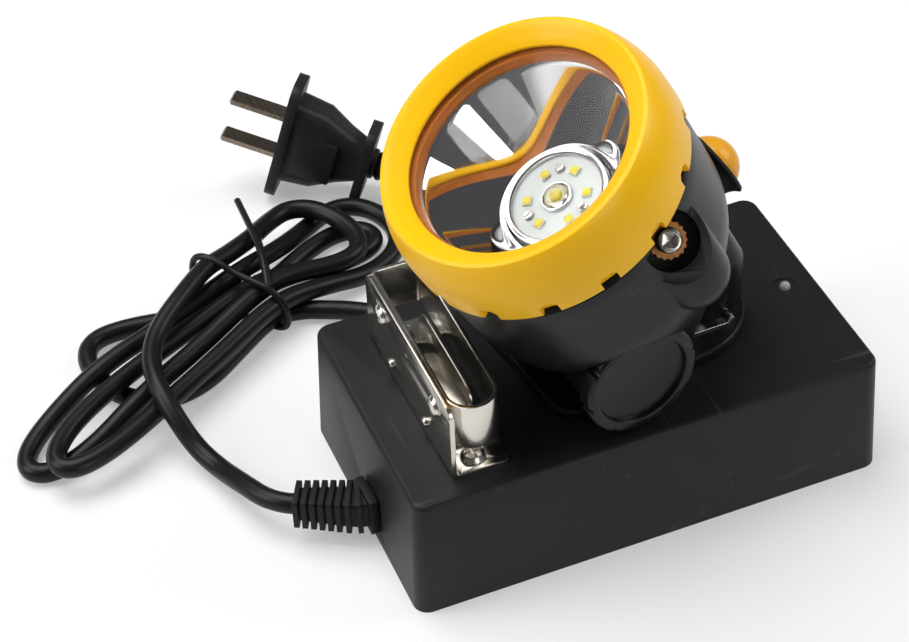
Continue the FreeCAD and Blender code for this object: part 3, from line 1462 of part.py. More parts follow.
def build_all():
    save("charger_housing", make_housing())
    save("charger_base", make_cover())
    save("base_screws", *[make_base_screw(x, y) for x, y in post_places])
    save("rubber_feet", *make_rubber_feet())
    save("circuit_board", make_circuit_board())
    core, coil, frame = make_transformer()
    save("transformer_core", core)
    save("transformer_coil", coil)
    save("transformer_bobbin", frame)
    save("capacitors", make_capacitor(big_can_x, big_can_y, big_can_radius, big_can_height),
         make_capacitor(small_can_x, small_can_y, small_can_radius, small_can_height),
         make_capacitor(small_can_x, small_can_y - small_can_spacing, small_can_radius, small_can_height))
    sink, transistor = make_heat_sink()
    save("heat_sink", sink)
    save("power_transistor", transistor)
    led, spacer = make_indicator()
    save("indicator_led", led)
    save("indicator_spacer", spacer)
    save("hook_holder", make_hook_holder())
    save("holder_loop", make_holder_loop())
    foot, blade = make_leaf()
    save("leaf_foot", foot)
    save("contact_leaf", blade)
    grip = clip_sheet + loop_sheet
    rivets = [make_rivet(y, big_rivet_z, big_rivet_radius, big_rivet_head, grip, 1.4, 2.2)
              for y in big_rivet_y]
    grip = clip_sheet + leaf_sheet
    rivets += [make_rivet(y, small_rivet_z, small_rivet_radius, small_rivet_head, grip, 0.8, 1.3)
               for y in small_rivet_y]
    save("holder_rivets", *rivets)
    save("foot_screws", *[make_foot_screw(x, y) for x, y in clip_screws])
    save("cord_boot", make_boot())
    hank, lead_in, lead_out = make_hank()
    save("cord_lead", make_free_cord("lead", [boot_end, boot_end + boot_direction * lead_first_run]
                                     + [V(*point) for point in LEAD]
                                     + [lead_in[0] - lead_in[1] * lead_last_run, lead_in[0]]))
    save("cord_hank", hank)
    save("cord_tail", make_free_cord("tail", [lead_out[0], lead_out[0] + lead_out[1] * tail_first_run]
                                     + [V(*point) for point in TAIL]
                                     + [plug_end + plug_axis * tail_last_run, plug_end]))
    save("twist_tie", make_twist_tie())
    body, blades = make_plug()
    save("plug_body", body)
    save("plug_blades", *blades)
    save_lamp("lamp_housing", make_lamp_housing())
    save_lamp("back_cover", make_back_cover())
    save_lamp("hook_plate", make_hook_plate())
    save_lamp("hook_strip", strip_solid())
    save_lamp("plate_screws", *[make_plate_screw(x, y) for x, y in plate_screws])
    save_lamp("bezel", in_head(make_bezel()))
    save_lamp("lens", in_head(make_lens()))
    save_lamp("lens_gasket", in_head(ring_solid(gasket_inner, lens_radius, reflector_front, lens_back)))
    save_lamp("reflector", in_head(make_reflector()))
    save_lamp("led_board", in_head(make_led_board()))
    save_lamp("led_ring", in_head(ring_solid(led_ring_inner, led_ring_outer, reflector_floor,
                                             reflector_floor + led_ring_height)))
    save_lamp("main_led", in_head(make_main_led()))
    save_lamp("side_leds", *[in_head(make_side_led(place)) for place in
                             head_places(side_led_count, side_led_start, side_led_pitch, reflector_floor)])
    save_lamp("board_screws", *[in_head(make_board_screw(place)) for place in board_screw_places(0)])
    save_lamp("heat_spreader", in_head(make_spreader()))
    save_lamp("driver_board", in_head(make_driver_board()))
    save_lamp("driver_parts", *[in_head(solid) for solid in make_driver_parts()])
    save_lamp("battery_cell", make_cell())
    save_lamp("cell_contact", make_cell_contact())
    save_lamp("cell_spring", make_cell_spring())
    save_lamp("battery_cap", make_battery_cap())
    save_lamp("cap_seal", make_cap_seal())
    save_lamp("switch_collar", in_head(make_switch_collar()))
    save_lamp("switch_button", in_head(make_switch_button()))
    save_lamp("switch_spring", in_head(make_switch_spring()))
    save_lamp("tact_switch", in_head(make_tact_switch()))
    save_lamp("contact_washer", in_head(make_contact_washer()))
    save_lamp("contact_screw", in_head(make_contact_screw()))


if __name__ == "__main__":
    os.makedirs("parts", exist_ok=True)
    build_all()
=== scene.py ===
"""Visual model of a cordless miner's cap lamp standing on its mains charger."""

from __future__ import annotations

import logging
import math
from dataclasses import dataclass
from enum import Enum
from typing import Callable, Iterable, Sequence

import bpy
from mathutils import Matrix, Vector

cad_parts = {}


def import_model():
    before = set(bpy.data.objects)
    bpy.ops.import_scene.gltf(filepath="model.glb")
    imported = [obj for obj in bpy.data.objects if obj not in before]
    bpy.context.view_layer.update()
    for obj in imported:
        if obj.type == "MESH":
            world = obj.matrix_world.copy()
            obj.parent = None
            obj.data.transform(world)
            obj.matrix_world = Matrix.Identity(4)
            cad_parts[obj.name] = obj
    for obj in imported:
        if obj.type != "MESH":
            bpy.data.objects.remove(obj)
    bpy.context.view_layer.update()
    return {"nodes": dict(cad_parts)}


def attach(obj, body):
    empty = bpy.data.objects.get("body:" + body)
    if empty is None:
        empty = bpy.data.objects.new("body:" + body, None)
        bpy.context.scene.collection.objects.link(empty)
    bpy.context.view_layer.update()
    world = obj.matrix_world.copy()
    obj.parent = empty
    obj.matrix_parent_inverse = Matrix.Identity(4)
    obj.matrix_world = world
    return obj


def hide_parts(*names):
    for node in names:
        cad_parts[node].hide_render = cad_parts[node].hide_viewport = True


LOG = logging.getLogger("cap_lamp")
MM = 0.001
WELD = 2e-6
POLE = 0.0005
PLASTIC_GLOSS = 0.22
SWELL_PEAK = 0.77
Colour = tuple[float, float, float]
Point = tuple[float, float, float]
Pair = tuple[float, float]


class Body(Enum):
    """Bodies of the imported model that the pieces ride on."""

    CHARGER = "charger"
    LEAF = "leaf"
    LAMP = "lamp"
    LENS = "lens_pack"
    BEZEL = "bezel_ring"
    CAP = "cap_ring"
    BUTTON = "button"


# Finishes


class Shading:
    """Node tree of one finish, with its noise, ramps and bump."""

    def __init__(self, name: str) -> None:
        """Starts a material with a plain shader.

        Args:
            name: Name of the material.
        """
        self.material = bpy.data.materials.new(name)
        self.material.use_nodes = True
        self.tree = self.material.node_tree
        self.shader = self.tree.nodes["Principled BSDF"]
        self.set(Specular_IOR_Level=PLASTIC_GLOSS)
        self.place = self.tree.nodes.new("ShaderNodeTexCoord").outputs["Object"]

    def set(self, **values: float | Colour) -> None:
        """Sets sockets of the shader.

        Args:
            values: Socket names, with underscores for spaces, and their values.
        """
        for key, value in values.items():
            socket = self.shader.inputs[key.replace("_", " ")]
            socket.default_value = (*value, 1.0) if isinstance(value, tuple) else value

    def noise(self, per_metre: float, detail: float = 3.0, stretch: Point = (1.0, 1.0, 1.0),
              turn: Point = (0.0, 0.0, 0.0)) -> bpy.types.NodeSocket:
        """Noise in the object's own coordinates.

        Args:
            per_metre: Scale of the noise.
            detail: Octaves of detail.
            stretch: Scale along each axis, for brushed or drawn marks.
            turn: Rotation of the pattern in radians.

        Returns:
            The noise's value.
        """
        mapping = self.tree.nodes.new("ShaderNodeMapping")
        mapping.inputs["Scale"].default_value = stretch
        mapping.inputs["Rotation"].default_value = turn
        self.tree.links.new(self.place, mapping.inputs["Vector"])
        node = self.tree.nodes.new("ShaderNodeTexNoise")
        node.inputs["Scale"].default_value = per_metre
        node.inputs["Detail"].default_value = detail
        self.tree.links.new(mapping.outputs["Vector"], node.inputs["Vector"])
        return node.outputs["Fac"]

    def span(self, value: bpy.types.NodeSocket, low: float, high: float,
             start: float = 0.0, end: float = 1.0) -> bpy.types.NodeSocket:
        """Maps a value from low..high to start..end, clamped.

        Args:
            value: Socket to map.
            low: Value that gives start.
            high: Value that gives end.
            start: Result at low.
            end: Result at high.

        Returns:
            The mapped value.
        """
        node = self.tree.nodes.new("ShaderNodeMapRange")
        self.tree.links.new(value, node.inputs["Value"])
        for key, number in (("From Min", low), ("From Max", high), ("To Min", start), ("To Max", end)):
            node.inputs[key].default_value = number
        return node.outputs["Result"]

    def tint(self, share: bpy.types.NodeSocket, first: Colour, second: Colour) -> bpy.types.NodeSocket:
        """Mixes two colours by a value.

        Args:
            share: Share of the second colour.
            first: Colour at 0.
            second: Colour at 1.

        Returns:
            The mixed colour.
        """
        node = self.tree.nodes.new("ShaderNodeMix")
        node.data_type = "RGBA"
        node.inputs[6].default_value = (*first, 1.0)
        node.inputs[7].default_value = (*second, 1.0)
        self.tree.links.new(share, node.inputs[0])
        return node.outputs[2]

    def wire(self, socket: bpy.types.NodeSocket, name: str) -> None:
        """Links a value to a socket of the shader."""
        self.tree.links.new(socket, self.shader.inputs[name])

    def bump(self, height: bpy.types.NodeSocket, strength: float, distance: float) -> None:
        """Bumps the surface.

        Args:
            height: Socket with the height.
            strength: Strength of the bump.
            distance: Height of the bump in metres.
        """
        node = self.tree.nodes.new("ShaderNodeBump")
        node.inputs["Strength"].default_value = strength
        node.inputs["Distance"].default_value = distance
        self.tree.links.new(height, node.inputs["Height"])
        before = self.shader.inputs["Normal"]
        if before.links:
            self.tree.links.new(before.links[0].from_socket, node.inputs["Normal"])
        self.tree.links.new(node.outputs["Normal"], before)


@dataclass(frozen=True)
class Finish:
    """A surface finish: colour, gloss and the fine texture over it."""

    name: str
    colour: Colour
    roughness: float = 0.4
    grain: float = 2200.0
    grain_height: float = 0.00002
    shift: float = 0.12

    def material(self) -> bpy.types.Material:
        """Builds the finish, or returns it if it is already built."""
        made = bpy.data.materials.get(self.name)
        if made:
            return made
        shading = Shading(self.name)
        self.dress(shading)
        return shading.material

    def dress(self, shading: Shading) -> None:
        """Colour that varies a little, roughness that varies with it, and fine grain.

        Args:
            shading: Node tree to fill.
        """
        blotch = shading.noise(60.0, 4.0)
        fine = shading.noise(self.grain, 2.0)
        low = tuple(channel * (1.0 - self.shift) for channel in self.colour)
        high = tuple(min(1.0, channel * (1.0 + self.shift)) for channel in self.colour)
        shading.wire(shading.tint(shading.span(blotch, 0.3, 0.7), low, high), "Base Color")
        dullest = self.roughness * 1.12
        shading.wire(shading.span(fine, 0.25, 0.75, self.roughness * 0.88, dullest), "Roughness")
        shading.bump(fine, 0.5, self.grain_height)


@dataclass(frozen=True)
class ScuffedPlastic(Finish):
    """Moulded plastic with hairline scuffs in all directions."""

    scuff: Colour = (0.09, 0.09, 0.09)
    scuff_share: float = 0.35

    def dress(self, shading: Shading) -> None:
        """Grained plastic, then scuffs that are a little lighter and duller."""
        super().dress(shading)
        marks = [shading.noise(180.0, 5.0, (0.12, 1.6, 1.0), (0.0, 0.0, 0.6)),
                 shading.noise(150.0, 5.0, (1.5, 0.12, 1.0), (0.0, 0.0, 0.2))]
        both = shading.tree.nodes.new("ShaderNodeMath")
        both.operation = "MAXIMUM"
        for index, mark in enumerate(marks):
            shading.tree.links.new(shading.span(mark, 0.66, 0.74), both.inputs[index])
        faint = shading.span(both.outputs[0], 0.0, 1.0, 0.0, self.scuff_share)
        mix = shading.tree.nodes.new("ShaderNodeMix")
        mix.data_type = "RGBA"
        shading.tree.links.new(faint, mix.inputs[0])
        shading.tree.links.new(shading.shader.inputs["Base Color"].links[0].from_socket, mix.inputs[6])
        mix.inputs[7].default_value = (*self.scuff, 1.0)
        shading.wire(mix.outputs[2], "Base Color")


@dataclass(frozen=True)
class Metal(Finish):
    """Bare or plated metal with drawn or brushed marks along one direction."""

    brushed: Point = (1.0, 0.06, 1.0)
    turn: Point = (0.0, 0.0, 0.0)

    def dress(self, shading: Shading) -> None:
        """Metal whose gloss varies along its brushing."""
        shading.set(Metallic=1.0, Specular_IOR_Level=0.5)
        marks = shading.noise(self.grain, 4.0, self.brushed, self.turn)
        cloud = shading.noise(45.0, 3.0)
        low = tuple(channel * (1.0 - self.shift) for channel in self.colour)
        shading.wire(shading.tint(shading.span(cloud, 0.3, 0.7), low, self.colour), "Base Color")
        dullest = self.roughness * 1.3
        shading.wire(shading.span(marks, 0.3, 0.7, self.roughness * 0.75, dullest), "Roughness")
        shading.bump(marks, 0.35, self.grain_height)


@dataclass(frozen=True)
class GlossPlastic(Finish):
    """Bright moulded plastic with a glossy skin and a faint moulding ripple."""

    coat: float = 0.4

    def dress(self, shading: Shading) -> None:
        """Clear-coated colour with a slow ripple."""
        super().dress(shading)
        shading.set(Coat_Weight=self.coat, Coat_Roughness=0.12)
        shading.bump(shading.noise(90.0, 2.0), 0.25, 0.00008)


@dataclass(frozen=True)
class ClearGlass(Finish):
    """Clear pressed glass or clear resin."""

    bend: float = 1.46

    def dress(self, shading: Shading) -> None:
        """Transmission with barely any roughness."""
        shading.set(Base_Color=self.colour, Transmission_Weight=1.0, IOR=self.bend)
        smear = shading.noise(40.0, 3.0)
        shading.wire(shading.span(smear, 0.4, 0.8, 0.0, self.roughness), "Roughness")


@dataclass(frozen=True)
class SolderBoard(Finish):
    """Circuit board under solder resist, with faint traces."""

    def dress(self, shading: Shading) -> None:
        """Resist whose traces show as a slight relief."""
        super().dress(shading)
        traces = shading.noise(500.0, 0.0, (1.0, 0.2, 1.0))
        shading.bump(shading.span(traces, 0.5, 0.54), 0.4, 0.00004)


class Finishes(Enum):
    """Every finish on the lamp, its charger and its lead."""

    CHARGER = ScuffedPlastic("charger moulding", (0.010, 0.010, 0.011), 0.46, 2600.0, 0.00003)
    LAMP = ScuffedPlastic("lamp moulding", (0.007, 0.007, 0.008), 0.34, 2400.0, 0.00002,
                          scuff=(0.06, 0.06, 0.06), scuff_share=0.25)
    BEZEL = GlossPlastic("bezel yellow", (0.97, 0.53, 0.004), 0.34, 1500.0, 0.00001, 0.02, coat=0.06)
    BUTTON = GlossPlastic("button yellow", (0.78, 0.36, 0.02), 0.33, 1500.0, 0.00001, 0.05, coat=0.15)
    RUBBER = Finish("black rubber", (0.007, 0.007, 0.007), 0.55, 1800.0, 0.00003)
    JACKET = Finish("lead jacket", (0.008, 0.008, 0.008), 0.36, 900.0, 0.00003)
    TIE = Finish("tie wire", (0.01, 0.01, 0.01), 0.33, 1500.0, 0.00002)
    PLUG = Finish("plug moulding", (0.018, 0.018, 0.019), 0.42, 2000.0, 0.00003)
    BLADE = Metal("blade metal", (0.36, 0.29, 0.23), 0.3, 1500.0, 0.00001, 0.25)
    NICKEL = Metal("nickel plate", (0.70, 0.67, 0.61), 0.2, 1500.0, 0.000006, 0.1, (1.0, 0.05, 1.0))
    SCREW = Metal("screw steel", (0.58, 0.55, 0.5), 0.28, 2500.0, 0.00001, 0.2, (1.0, 1.0, 1.0))
    COPPER = Metal("copper washer", (0.72, 0.33, 0.12), 0.34, 2500.0, 0.00001, 0.3, (1.0, 1.0, 1.0))
    ALLOY = Metal("turned alloy", (0.7, 0.7, 0.71), 0.3, 2200.0, 0.00001, 0.1)
    MIRROR = Metal("reflector mirror", (0.90, 0.90, 0.90), 0.045, 60.0, 0.0, 0.02, (1.0, 1.0, 1.0))
    CHROME = Metal("bright ring", (0.55, 0.55, 0.57), 0.16, 300.0, 0.0, 0.03, (1.0, 1.0, 1.0))
    GLASS = ClearGlass("lens glass", (1.0, 1.0, 1.0), 0.01, bend=1.12)
    RESIN = ClearGlass("clear resin", (1.0, 0.98, 0.9), 0.05, bend=1.4)
    # Gasket: partly its own orange, partly painted shade, as its dark orange-brown stands in for the
    # bezel's yellow inner wall in shadow.
    GASKET = Finish("orange gasket and painted wall shade", (0.62, 0.2, 0.035), 0.5, 1500.0, 0.00002)
    RESIST = SolderBoard("white resist", (0.62, 0.66, 0.64), 0.4, 1500.0, 0.00001, 0.04)
    GREEN = SolderBoard("green resist", (0.02, 0.12, 0.05), 0.3, 1500.0, 0.00001, 0.1)
    PHOSPHOR = Finish("phosphor", (0.80, 0.64, 0.04), 0.45, 3000.0, 0.00001, 0.1)
    PACKAGE = GlossPlastic("diode package", (0.66, 0.66, 0.48), 0.4, 2000.0, 0.00001, 0.05, coat=0.05)
    DARK = GlossPlastic("dark cases", (0.03, 0.03, 0.035), 0.35, 1500.0, 0.00001, 0.1, coat=0.1)
    CORE = Finish("laminated core", (0.09, 0.09, 0.095), 0.6, 1500.0, 0.00004)
    COIL = Metal("enamelled wire", (0.6, 0.26, 0.1), 0.35, 1500.0, 0.00004, 0.2, (0.05, 0.05, 1.0))
    SLEEVE = GlossPlastic("cell sleeve", (0.04, 0.11, 0.35), 0.3, 1500.0, 0.00001, 0.05)
    INDICATOR = GlossPlastic("indicator resin", (0.32, 0.3, 0.31), 0.12, 1500.0, 0.0, 0.1)


# Places

LAMP_PLACE = Matrix.Translation((0.0, 0.0, 0.036)) @ Matrix.Rotation(math.radians(8.0), 4, "Z")
HEAD_PLACE = (LAMP_PLACE @ Matrix.Translation((0.01832, -0.00184, 0.0))
              @ Matrix.Rotation(math.radians(-28.2), 4, "Y"))


# Modelling helpers


def deselect() -> None:
    """Leaves nothing selected or active."""
    for item in bpy.context.selected_objects:
        item.select_set(False)
    bpy.context.view_layer.objects.active = None


def pick(item: bpy.types.Object) -> bpy.types.Object:
    """Selects one object and makes it active."""
    deselect()
    item.select_set(True)
    bpy.context.view_layer.objects.active = item
    return item


def settle(item: bpy.types.Object, place: Matrix, name: str) -> bpy.types.Object:
    """Moves a piece to its place, within its mesh, and names it.

    Args:
        item: Piece as modelled about the origin.
        place: Where it goes on the object.
        name: Its name.

    Returns:
        The piece.
    """
    item.data.transform(place @ item.matrix_world)
    item.matrix_world = Matrix.Identity(4)
    item.name = name
    item.data.name = name
    return item


def give(item: bpy.types.Object, finish: Finishes, body: Body) -> bpy.types.Object:
    """Dresses a piece and lets it ride on its body.

    Args:
        item: The piece, in place.
        finish: Its finish.
        body: Body it moves with.

    Returns:
        The piece.
    """
    item.data.materials.clear()
    item.data.materials.append(finish.value.material())
    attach(item, body.value)
    LOG.info("%s rides on %s in %s", item.name, body.value, finish.value.name)
    return item


def edited(item: bpy.types.Object, work: Callable[[], None]) -> None:
    """Runs operators on a piece in edit mode."""
    pick(item)
    bpy.ops.object.mode_set(mode="EDIT")
    work()
    bpy.ops.object.mode_set(mode="OBJECT")


def modify(item: bpy.types.Object, kind: str, **values: object) -> None:
    """Adds a modifier to a piece and applies it.

    Args:
        item: The piece.
        kind: Type of modifier.
        values: Its settings.
    """
    pick(item)
    modifier = item.modifiers.new(kind.lower(), kind)
    for key, value in values.items():
        setattr(modifier, key, value)
    bpy.ops.object.modifier_apply(modifier=modifier.name)


def soften(item: bpy.types.Object, angle: float = 32.0) -> None:
    """Smooths the shading across shallow edges."""
    pick(item)
    bpy.ops.object.shade_smooth_by_angle(angle=math.radians(angle))


def bow(start: Pair, through: Pair, end: Pair, steps: int) -> list[Pair]:
    """Points of a circular arc in a turned profile, its ends among them.

    Args:
        start: Radius and height where it starts.
        through: A point on it.
        end: Where it ends.
        steps: Number of equal parts.

    Returns:
        Radius and height of each point.
    """
    (ax, ay), (bx, by), (cx, cy) = start, through, end
    double = 2 * (ax * (by - cy) + bx * (cy - ay) + cx * (ay - by))
    a, b, c = ax * ax + ay * ay, bx * bx + by * by, cx * cx + cy * cy
    ox = (a * (by - cy) + b * (cy - ay) + c * (ay - by)) / double
    oy = (a * (cx - bx) + b * (ax - cx) + c * (bx - ax)) / double
    reach = math.hypot(ax - ox, ay - oy)
    first = math.atan2(ay - oy, ax - ox)
    sweep = (math.atan2(cy - oy, cx - ox) - first + math.pi) % (2 * math.pi) - math.pi
    angles = [first + sweep * k / steps for k in range(steps + 1)]
    return [(ox + reach * math.cos(angle), oy + reach * math.sin(angle)) for angle in angles]


def lathe(profile: Sequence[Pair], segments: int = 144) -> bpy.types.Object:
    """Turned piece: a circle carried along a profile in edit mode.

    Args:
        profile: Radius and height of each ring in millimetres. The last equals the first on a ring.
        segments: Flats round the turn.

    Returns:
        The piece, about the Z axis.
    """
    deselect()
    radius, height = profile[0]
    bpy.ops.mesh.primitive_circle_add(vertices=segments, radius=MM * radius,
                                      location=(0.0, 0.0, MM * height))
    bpy.ops.object.transform_apply(location=True)
    item = bpy.context.object

    def carry() -> None:
        """Extrudes the circle from ring to ring and closes the skin."""
        last_radius, last_height = profile[0]
        bpy.context.tool_settings.mesh_select_mode = (True, False, False)
        bpy.ops.mesh.select_all(action="SELECT")
        for wider, higher in profile[1:]:
            bpy.ops.mesh.extrude_region_move()
            ratio = wider / last_radius
            bpy.ops.transform.resize(value=(ratio, ratio, 1.0))
            bpy.ops.transform.translate(value=(0.0, 0.0, MM * (higher - last_height)))
            last_radius, last_height = wider, higher
        bpy.ops.mesh.select_all(action="SELECT")
        bpy.ops.mesh.remove_doubles(threshold=WELD)
        bpy.ops.mesh.normals_make_consistent(inside=False)

    edited(item, carry)
    soften(item)
    return item


@dataclass
class Assembly:
    """A group of pieces that are built and dressed together."""

    nodes: dict[str, bpy.types.Object]

    def turn(self, name: str, node: str, profile: Sequence[Pair], finish: Finishes, slot: str,
             body: Body) -> bpy.types.Object:
        """Turns a piece of the head in a node's place.

        Args:
            name: Name of the piece.
            node: CAD node that it replaces, or nothing for a piece within another.
            profile: Its profile along the head's axis, in millimetres.
            finish: Its finish.
            slot: Material slot, not used.
            body: Body it rides on.

        Returns:
            The piece.
        """
        item = settle(lathe(profile), HEAD_PLACE, name)
        if node:
            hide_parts(node)
        return give(item, finish, body)

    def refine(self, node: str, finish: Finishes, slot: str, body: Body, round_off: float = 0.0,
               angle: float = 32.0) -> bpy.types.Object:
        """Stands a welded, softly edged copy in for a node.

        Args:
            node: CAD node whose shape is right.
            finish: Finish of the copy.
            slot: Material slot, not used.
            body: Body it rides on.
            round_off: Width in metres of the small round on its sharp edges.
            angle: Edges sharper than this stay crisp, in degrees.

        Returns:
            The copy.
        """
        source = self.nodes[node]
        copy = bpy.data.objects.new(node + "_moulded", source.data.copy())
        bpy.context.scene.collection.objects.link(copy)

        def weld() -> None:
            """Merges the loose triangles and joins flat faces."""
            bpy.ops.mesh.select_all(action="SELECT")
            bpy.ops.mesh.remove_doubles(threshold=WELD)
            bpy.ops.mesh.dissolve_limited(angle_limit=math.radians(0.05))

        edited(copy, weld)
        if round_off:
            modify(copy, "BEVEL", width=round_off, segments=2, limit_method="ANGLE",
                   angle_limit=math.radians(angle), use_clamp_overlap=True, harden_normals=False)
        soften(copy, angle)
        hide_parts(node)
        return give(copy, finish, body)

    def dress_nodes(self, finishes: dict[str, Finishes]) -> None:
        """Gives CAD nodes that stay their finish.

        Args:
            finishes: Finish of each node.
        """
        for name, finish in finishes.items():
            item = self.nodes[name]
            item.data.materials.clear()
            item.data.materials.append(finish.value.material())
            LOG.info("%s keeps its shape in %s", name, finish.value.name)


# Camera, floor and light


@dataclass
class Studio:
    """Camera, pale floor and soft lamps."""

    position: Point = (-0.1991, -0.4349, 0.4856)
    forward: Point = (0.2559, 0.6898, -0.6773)
    up: Point = (0.2813, 0.6172, 0.7349)
    lens_mm: float = 100.96
    floor_size: float = 6.0

    def place_camera(self) -> None:
        """Puts the camera where the photograph was taken from."""
        ahead = Vector(self.forward).normalized()
        side = ahead.cross(Vector(self.up)).normalized()
        top = side.cross(ahead)
        turn = Matrix((side, top, -ahead)).transposed().to_4x4()
        data = bpy.data.cameras.new("camera")
        data.lens = self.lens_mm
        data.sensor_width = 36.0
        data.clip_start = 0.01
        camera = bpy.data.objects.new("camera", data)
        camera.matrix_world = Matrix.Translation(self.position) @ turn
        bpy.context.scene.collection.objects.link(camera)
        bpy.context.scene.camera = camera

    def lay_floor(self) -> None:
        """Lays a white floor that keeps soft shadows."""
        deselect()
        bpy.ops.mesh.primitive_plane_add(size=self.floor_size)
        floor = settle(bpy.context.object, Matrix.Identity(4), "floor")
        shading = Shading("floor")
        shading.set(Base_Color=(0.56, 0.56, 0.56), Roughness=0.9, Specular_IOR_Level=0.1)
        tree = shading.tree
        glow = tree.nodes.new("ShaderNodeEmission")
        rays = tree.nodes.new("ShaderNodeLightPath")
        seen = None
        for name in ("Is Camera Ray", "Is Glossy Ray", "Is Transmission Ray"):
            if seen is None:
                seen = rays.outputs[name]
                continue
            both = tree.nodes.new("ShaderNodeMath")
            both.operation = "MAXIMUM"
            tree.links.new(seen, both.inputs[0])
            tree.links.new(rays.outputs[name], both.inputs[1])
            seen = both.outputs[0]
        tree.links.new(shading.span(seen, 0.0, 1.0, 0.0, 0.34), glow.inputs["Strength"])
        added = tree.nodes.new("ShaderNodeAddShader")
        tree.links.new(shading.shader.outputs[0], added.inputs[0])
        tree.links.new(glow.outputs[0], added.inputs[1])
        output = next(node for node in tree.nodes if node.type == "OUTPUT_MATERIAL")
        tree.links.new(added.outputs[0], output.inputs["Surface"])
        floor.data.materials.append(shading.material)

    def add_lamp(self, name: str, place: Point, target: Point, size: float, power: float) -> None:
        """Hangs a soft square lamp.

        Args:
            name: Name of the lamp.
            place: Where it hangs.
            target: What it points at.
            size: Side of the square in metres.
            power: Power in watts.
        """
        data = bpy.data.lights.new(name, "AREA")
        data.size = size
        data.energy = power
        lamp = bpy.data.objects.new(name, data)
        aim = (Vector(target) - Vector(place)).to_track_quat("-Z", "Y")
        lamp.matrix_world = Matrix.Translation(place) @ aim.to_matrix().to_4x4()
        bpy.context.scene.collection.objects.link(lamp)

    def light(self) -> None:
        """Soft light from above, both sides and the front, in a grey room."""
        scene = bpy.context.scene
        world = bpy.data.worlds.new("room")
        world.use_nodes = True
        tree = world.node_tree
        back = tree.nodes["Background"]
        direction = tree.nodes.new("ShaderNodeTexCoord")
        split = tree.nodes.new("ShaderNodeSeparateXYZ")
        tree.links.new(direction.outputs["Generated"], split.inputs[0])
        ramp = tree.nodes.new("ShaderNodeValToRGB")
        ramp.color_ramp.elements[0].position = 0.0
        ramp.color_ramp.elements[0].color = (0.14, 0.14, 0.14, 1.0)
        ramp.color_ramp.elements[1].position = 0.9
        ramp.color_ramp.elements[1].color = (0.06, 0.06, 0.065, 1.0)
        tree.links.new(split.outputs["Z"], ramp.inputs["Fac"])
        tree.links.new(ramp.outputs["Color"], back.inputs["Color"])
        back.inputs["Strength"].default_value = 1.0
        scene.world = world
        self.add_lamp("overhead", (-0.25, 0.35, 1.05), (0.0, 0.05, 0.0), 0.9, 12.0)
        self.add_lamp("right", (0.95, -0.1, 0.75), (0.0, 0.0, 0.05), 0.6, 4.5)
        self.add_lamp("left", (-0.9, 0.15, 0.55), (0.0, 0.0, 0.05), 0.55, 4.5)
        self.add_lamp("front", (0.25, -0.95, 0.45), (0.0, 0.0, 0.05), 0.5, 2.6)
        scene.view_settings.view_transform = "Standard"

    def build(self) -> None:
        """Sets up camera, floor and light."""
        self.place_camera()
        self.lay_floor()
        self.light()


# Mains lead


def smooth(share: float) -> float:
    """Ease from 0 to 1."""
    share = min(1.0, max(0.0, share))
    return share * share * (3 - 2 * share)


@dataclass
class Lobe:
    """One end of a tied loop: a drop-shaped run out from the tie and back, in millimetres.

    reach is how far it goes along the hank, side is the side it swells to first, half_width and
    middle are its width and the place of its middle, across_in and across_out are where it leaves
    the tie and where it is back. layers counts the strands beneath it at its start, far end and
    return, and hold and land are the shares of the reach between which it changes layer. fullness
    above 1 keeps the swell near the far end, and closing scales it on the way back. rise lifts its
    two ends at the tie, where pinch draws the strands together within grip_reach. ground is the
    height of the lowest strand's centre, and step the height of a layer.
    """

    reach: float
    side: int
    half_width: float
    middle: float
    across_in: float
    across_out: float
    layers: tuple[int, int, int]
    hold: float
    land: float
    fullness: float = 1.0
    rise: Pair = (1.0, 1.0)
    closing: float = 1.0
    ground: float = 2.9
    step: float = 6.15
    pinch: float = 0.2
    grip_reach: float = 28.0

    def point(self, share: float) -> Point:
        """Point along the lobe.

        Args:
            share: 0 where it leaves the tie and 1 where it is back.

        Returns:
            Distance along the hank, across it, and height of the cord's centre, in millimetres.
        """
        out = math.sin(math.pi * share)
        swell = math.sin(2 * math.pi * share) * max(out, 0.0) ** self.fullness
        swell *= 1.0 if share < 0.5 else self.closing
        across = self.across_in + (self.across_out - self.across_in) * smooth(share)
        across = across + self.middle * out * out
        across += self.side * self.half_width / SWELL_PEAK * swell
        near = self.layers[0] if share < 0.5 else self.layers[2]
        layer = near + (self.layers[1] - near) * smooth((out - self.hold) / (self.land - self.hold))
        grip = 1 - smooth(abs(self.reach) * out / self.grip_reach)
        lifted = grip * (self.rise[0] if share < 0.5 else self.rise[1])
        return self.reach * out, across * (1 - self.pinch * grip), self.ground + layer * self.step + lifted


